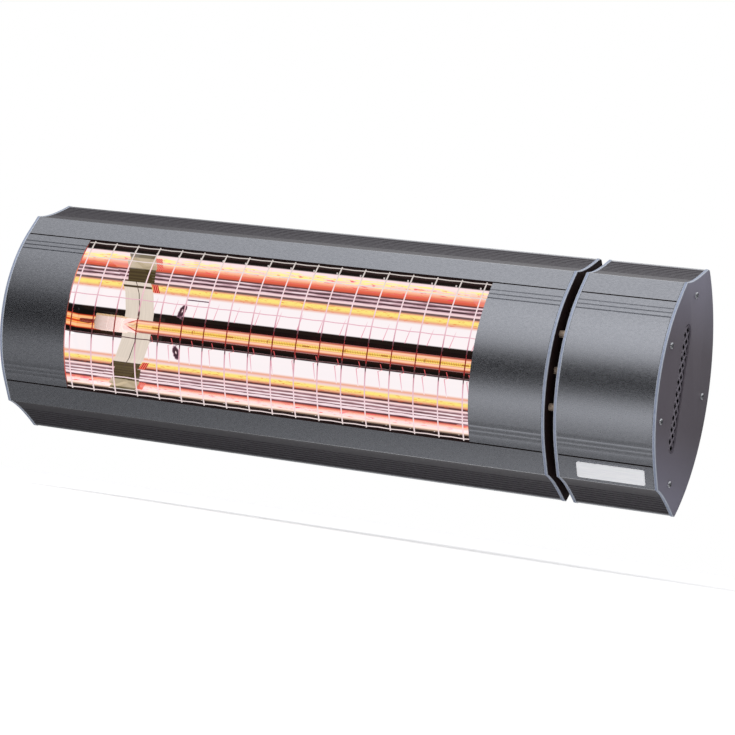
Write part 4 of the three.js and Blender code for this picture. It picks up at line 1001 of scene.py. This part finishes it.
# The name plate is left blank; a raised border runs round its sunk field.
def makeBadge():
    bm = nodeCopy("badge_plate")
    front = min(bm.faces, key=lambda f: f.normal.y * f.calc_area())
    out = front.normal.copy()
    for width in (badge["border"], badge["step"]):
        bmesh.ops.inset_region(bm, faces=[front], thickness=width, use_even_offset=True)
    bmesh.ops.translate(bm, vec=-out * badge["sunk"], verts=front.verts)
    finishPiece(bm, ["badge_plate"], [brushed], 20, place=Vector())


makeBadge()
dressNode("cable_gland", blackNylon, 0.5, angle=25)
dressNode("gland_nut", blackNylon, 0.3)
dressNode("terminal_block", greyNylon, 0.4)
dressNode("control_board", boardResin, 0.2)
print("box fittings made")

dressNode("wall_bracket", powderCoat, 0.6, "wall_mount")
dressNode("tilt_yoke", powderCoat, 0.6, "yoke")
for side in ("left_", "right_"):
    for part, body in (("pivot_bolt", "wall_mount"), ("pivot_nut", "wall_mount"), ("slot_screw", "yoke"),
                       ("slot_nut", "yoke")):
        dressNode(side + part, zincSteel, 0.3, body)
print("bracket and yoke made")

floorTop = -152                        # just under the heater at its steepest tilt
floorMaterial, tree, shader = speckled("pale floor", {
    "Roughness": 0.8, "Emission Color": "ffffff", "Specular IOR Level": 0.1}, (40, 40, 40), "f2f2f2",
    "f6f6f6")[:3]
ray = addNode(tree, "LightPath")
lift = addNode(tree, "Math", "MULTIPLY", ray.outputs["Is Camera Ray"], 0.28)
setNode(tree, shader, {"Emission Strength": lift})
bm = bmesh.new()
bmesh.ops.create_circle(bm, cap_ends=True, segments=96, radius=6000)
floor = addObject(bm, "floor", Vector((0, 0, floorTop)))
floor.data.materials.append(floorMaterial)
floor.visible_glossy = False

# Reflections see a studio that is bright above and below, dark at eye level and dim at the sides.
studioBands = [                        # elevation in degrees, brightness
    (-90, 0.64), (-70, 0.5), (-58, 0.26), (-46, 0.38), (-38, 0.62), (-31, 0.9), (-24, 1.12), (-18, 0.8),
    (-13, 0.33), (-8, 0.06), (-3, 0.01), (3, 0.01), (8, 0.06), (13, 0.4), (18, 0.92), (25, 1.2),
    (33, 1.28), (44, 1.28), (55, 1.06), (90, 1.04)]
world = bpy.data.worlds.new("studio")
world.use_nodes = True
tree = world.node_tree
tree.nodes.clear()
way = addNode(tree, "TexCoord")
parts = addNode(tree, "SeparateXYZ", {0: way.outputs["Generated"]})
bands = bandRamp(tree, parts.outputs["Z"], [(math.sin(math.radians(e)), level) for e, level in studioBands])
sideways = addNode(tree, "Math", "ABSOLUTE", parts)
square = addNode(tree, "Math", "MULTIPLY", parts.outputs["Z"], parts.outputs["Z"])
least = addNode(tree, "Math", "MULTIPLY_ADD", square, 0.95, 0)
loss = addNode(tree, "MapRange", {}, sideways, 0.41, 0.5, 1, least)
dimmed = addNode(tree, "MixRGB", {"blend_type": "MULTIPLY"}, 1, bands, loss)
ray = addNode(tree, "LightPath")
seen = addNode(tree, "Math", "MAXIMUM", ray.outputs["Is Camera Ray"], ray.outputs["Is Transmission Ray"])
soft = addNode(tree, "MixRGB", {}, ray.outputs["Is Glossy Ray"], "e6e6e8", dimmed)
whole = addNode(tree, "MixRGB", {}, seen, soft, "ffffff")
light = addNode(tree, "Background", {"Strength": 1, "Color": whole})
addNode(tree, "OutputWorld", {"Surface": light})
bpy.context.scene.world = world

softBox = bpy.data.lights.new("softBox", "AREA")
softBox.shape, softBox.size, softBox.size_y, softBox.energy = "RECTANGLE", 1.6, 1.0, 14
lampObject = bpy.data.objects.new("softBox", softBox)
lampObject.location = (-0.6, -1.3, 1.5)
lampObject.rotation_euler = (Vector((0, -0.1, 0)) - lampObject.location).to_track_quat("-Z", "Y").to_euler()
lampObject.visible_glossy = False
bpy.context.scene.collection.objects.link(lampObject)

viewpoint = {                          # where the photograph was taken from, in metres
    "place": (0.9315, -2.0595, -0.13655), "right": (0.89852, 0.41262, 0.14971),
    "down": (0.11139, 0.11558, -0.98703), "lens": 124.202, "sensor": 36,
}
camera = bpy.data.cameras.new("camera")
camera.lens, camera.sensor_width = viewpoint["lens"], viewpoint["sensor"]
cameraObject = bpy.data.objects.new("camera", camera)
right, up = Vector(viewpoint["right"]), -Vector(viewpoint["down"])
turned = Matrix((right, up, right.cross(up))).transposed().to_4x4()
cameraObject.matrix_world = Matrix.Translation(viewpoint["place"]) @ turned
bpy.context.scene.collection.objects.link(cameraObject)
bpy.context.scene.camera = cameraObject
bpy.context.scene.view_settings.view_transform = "Standard"
print("stage ready")
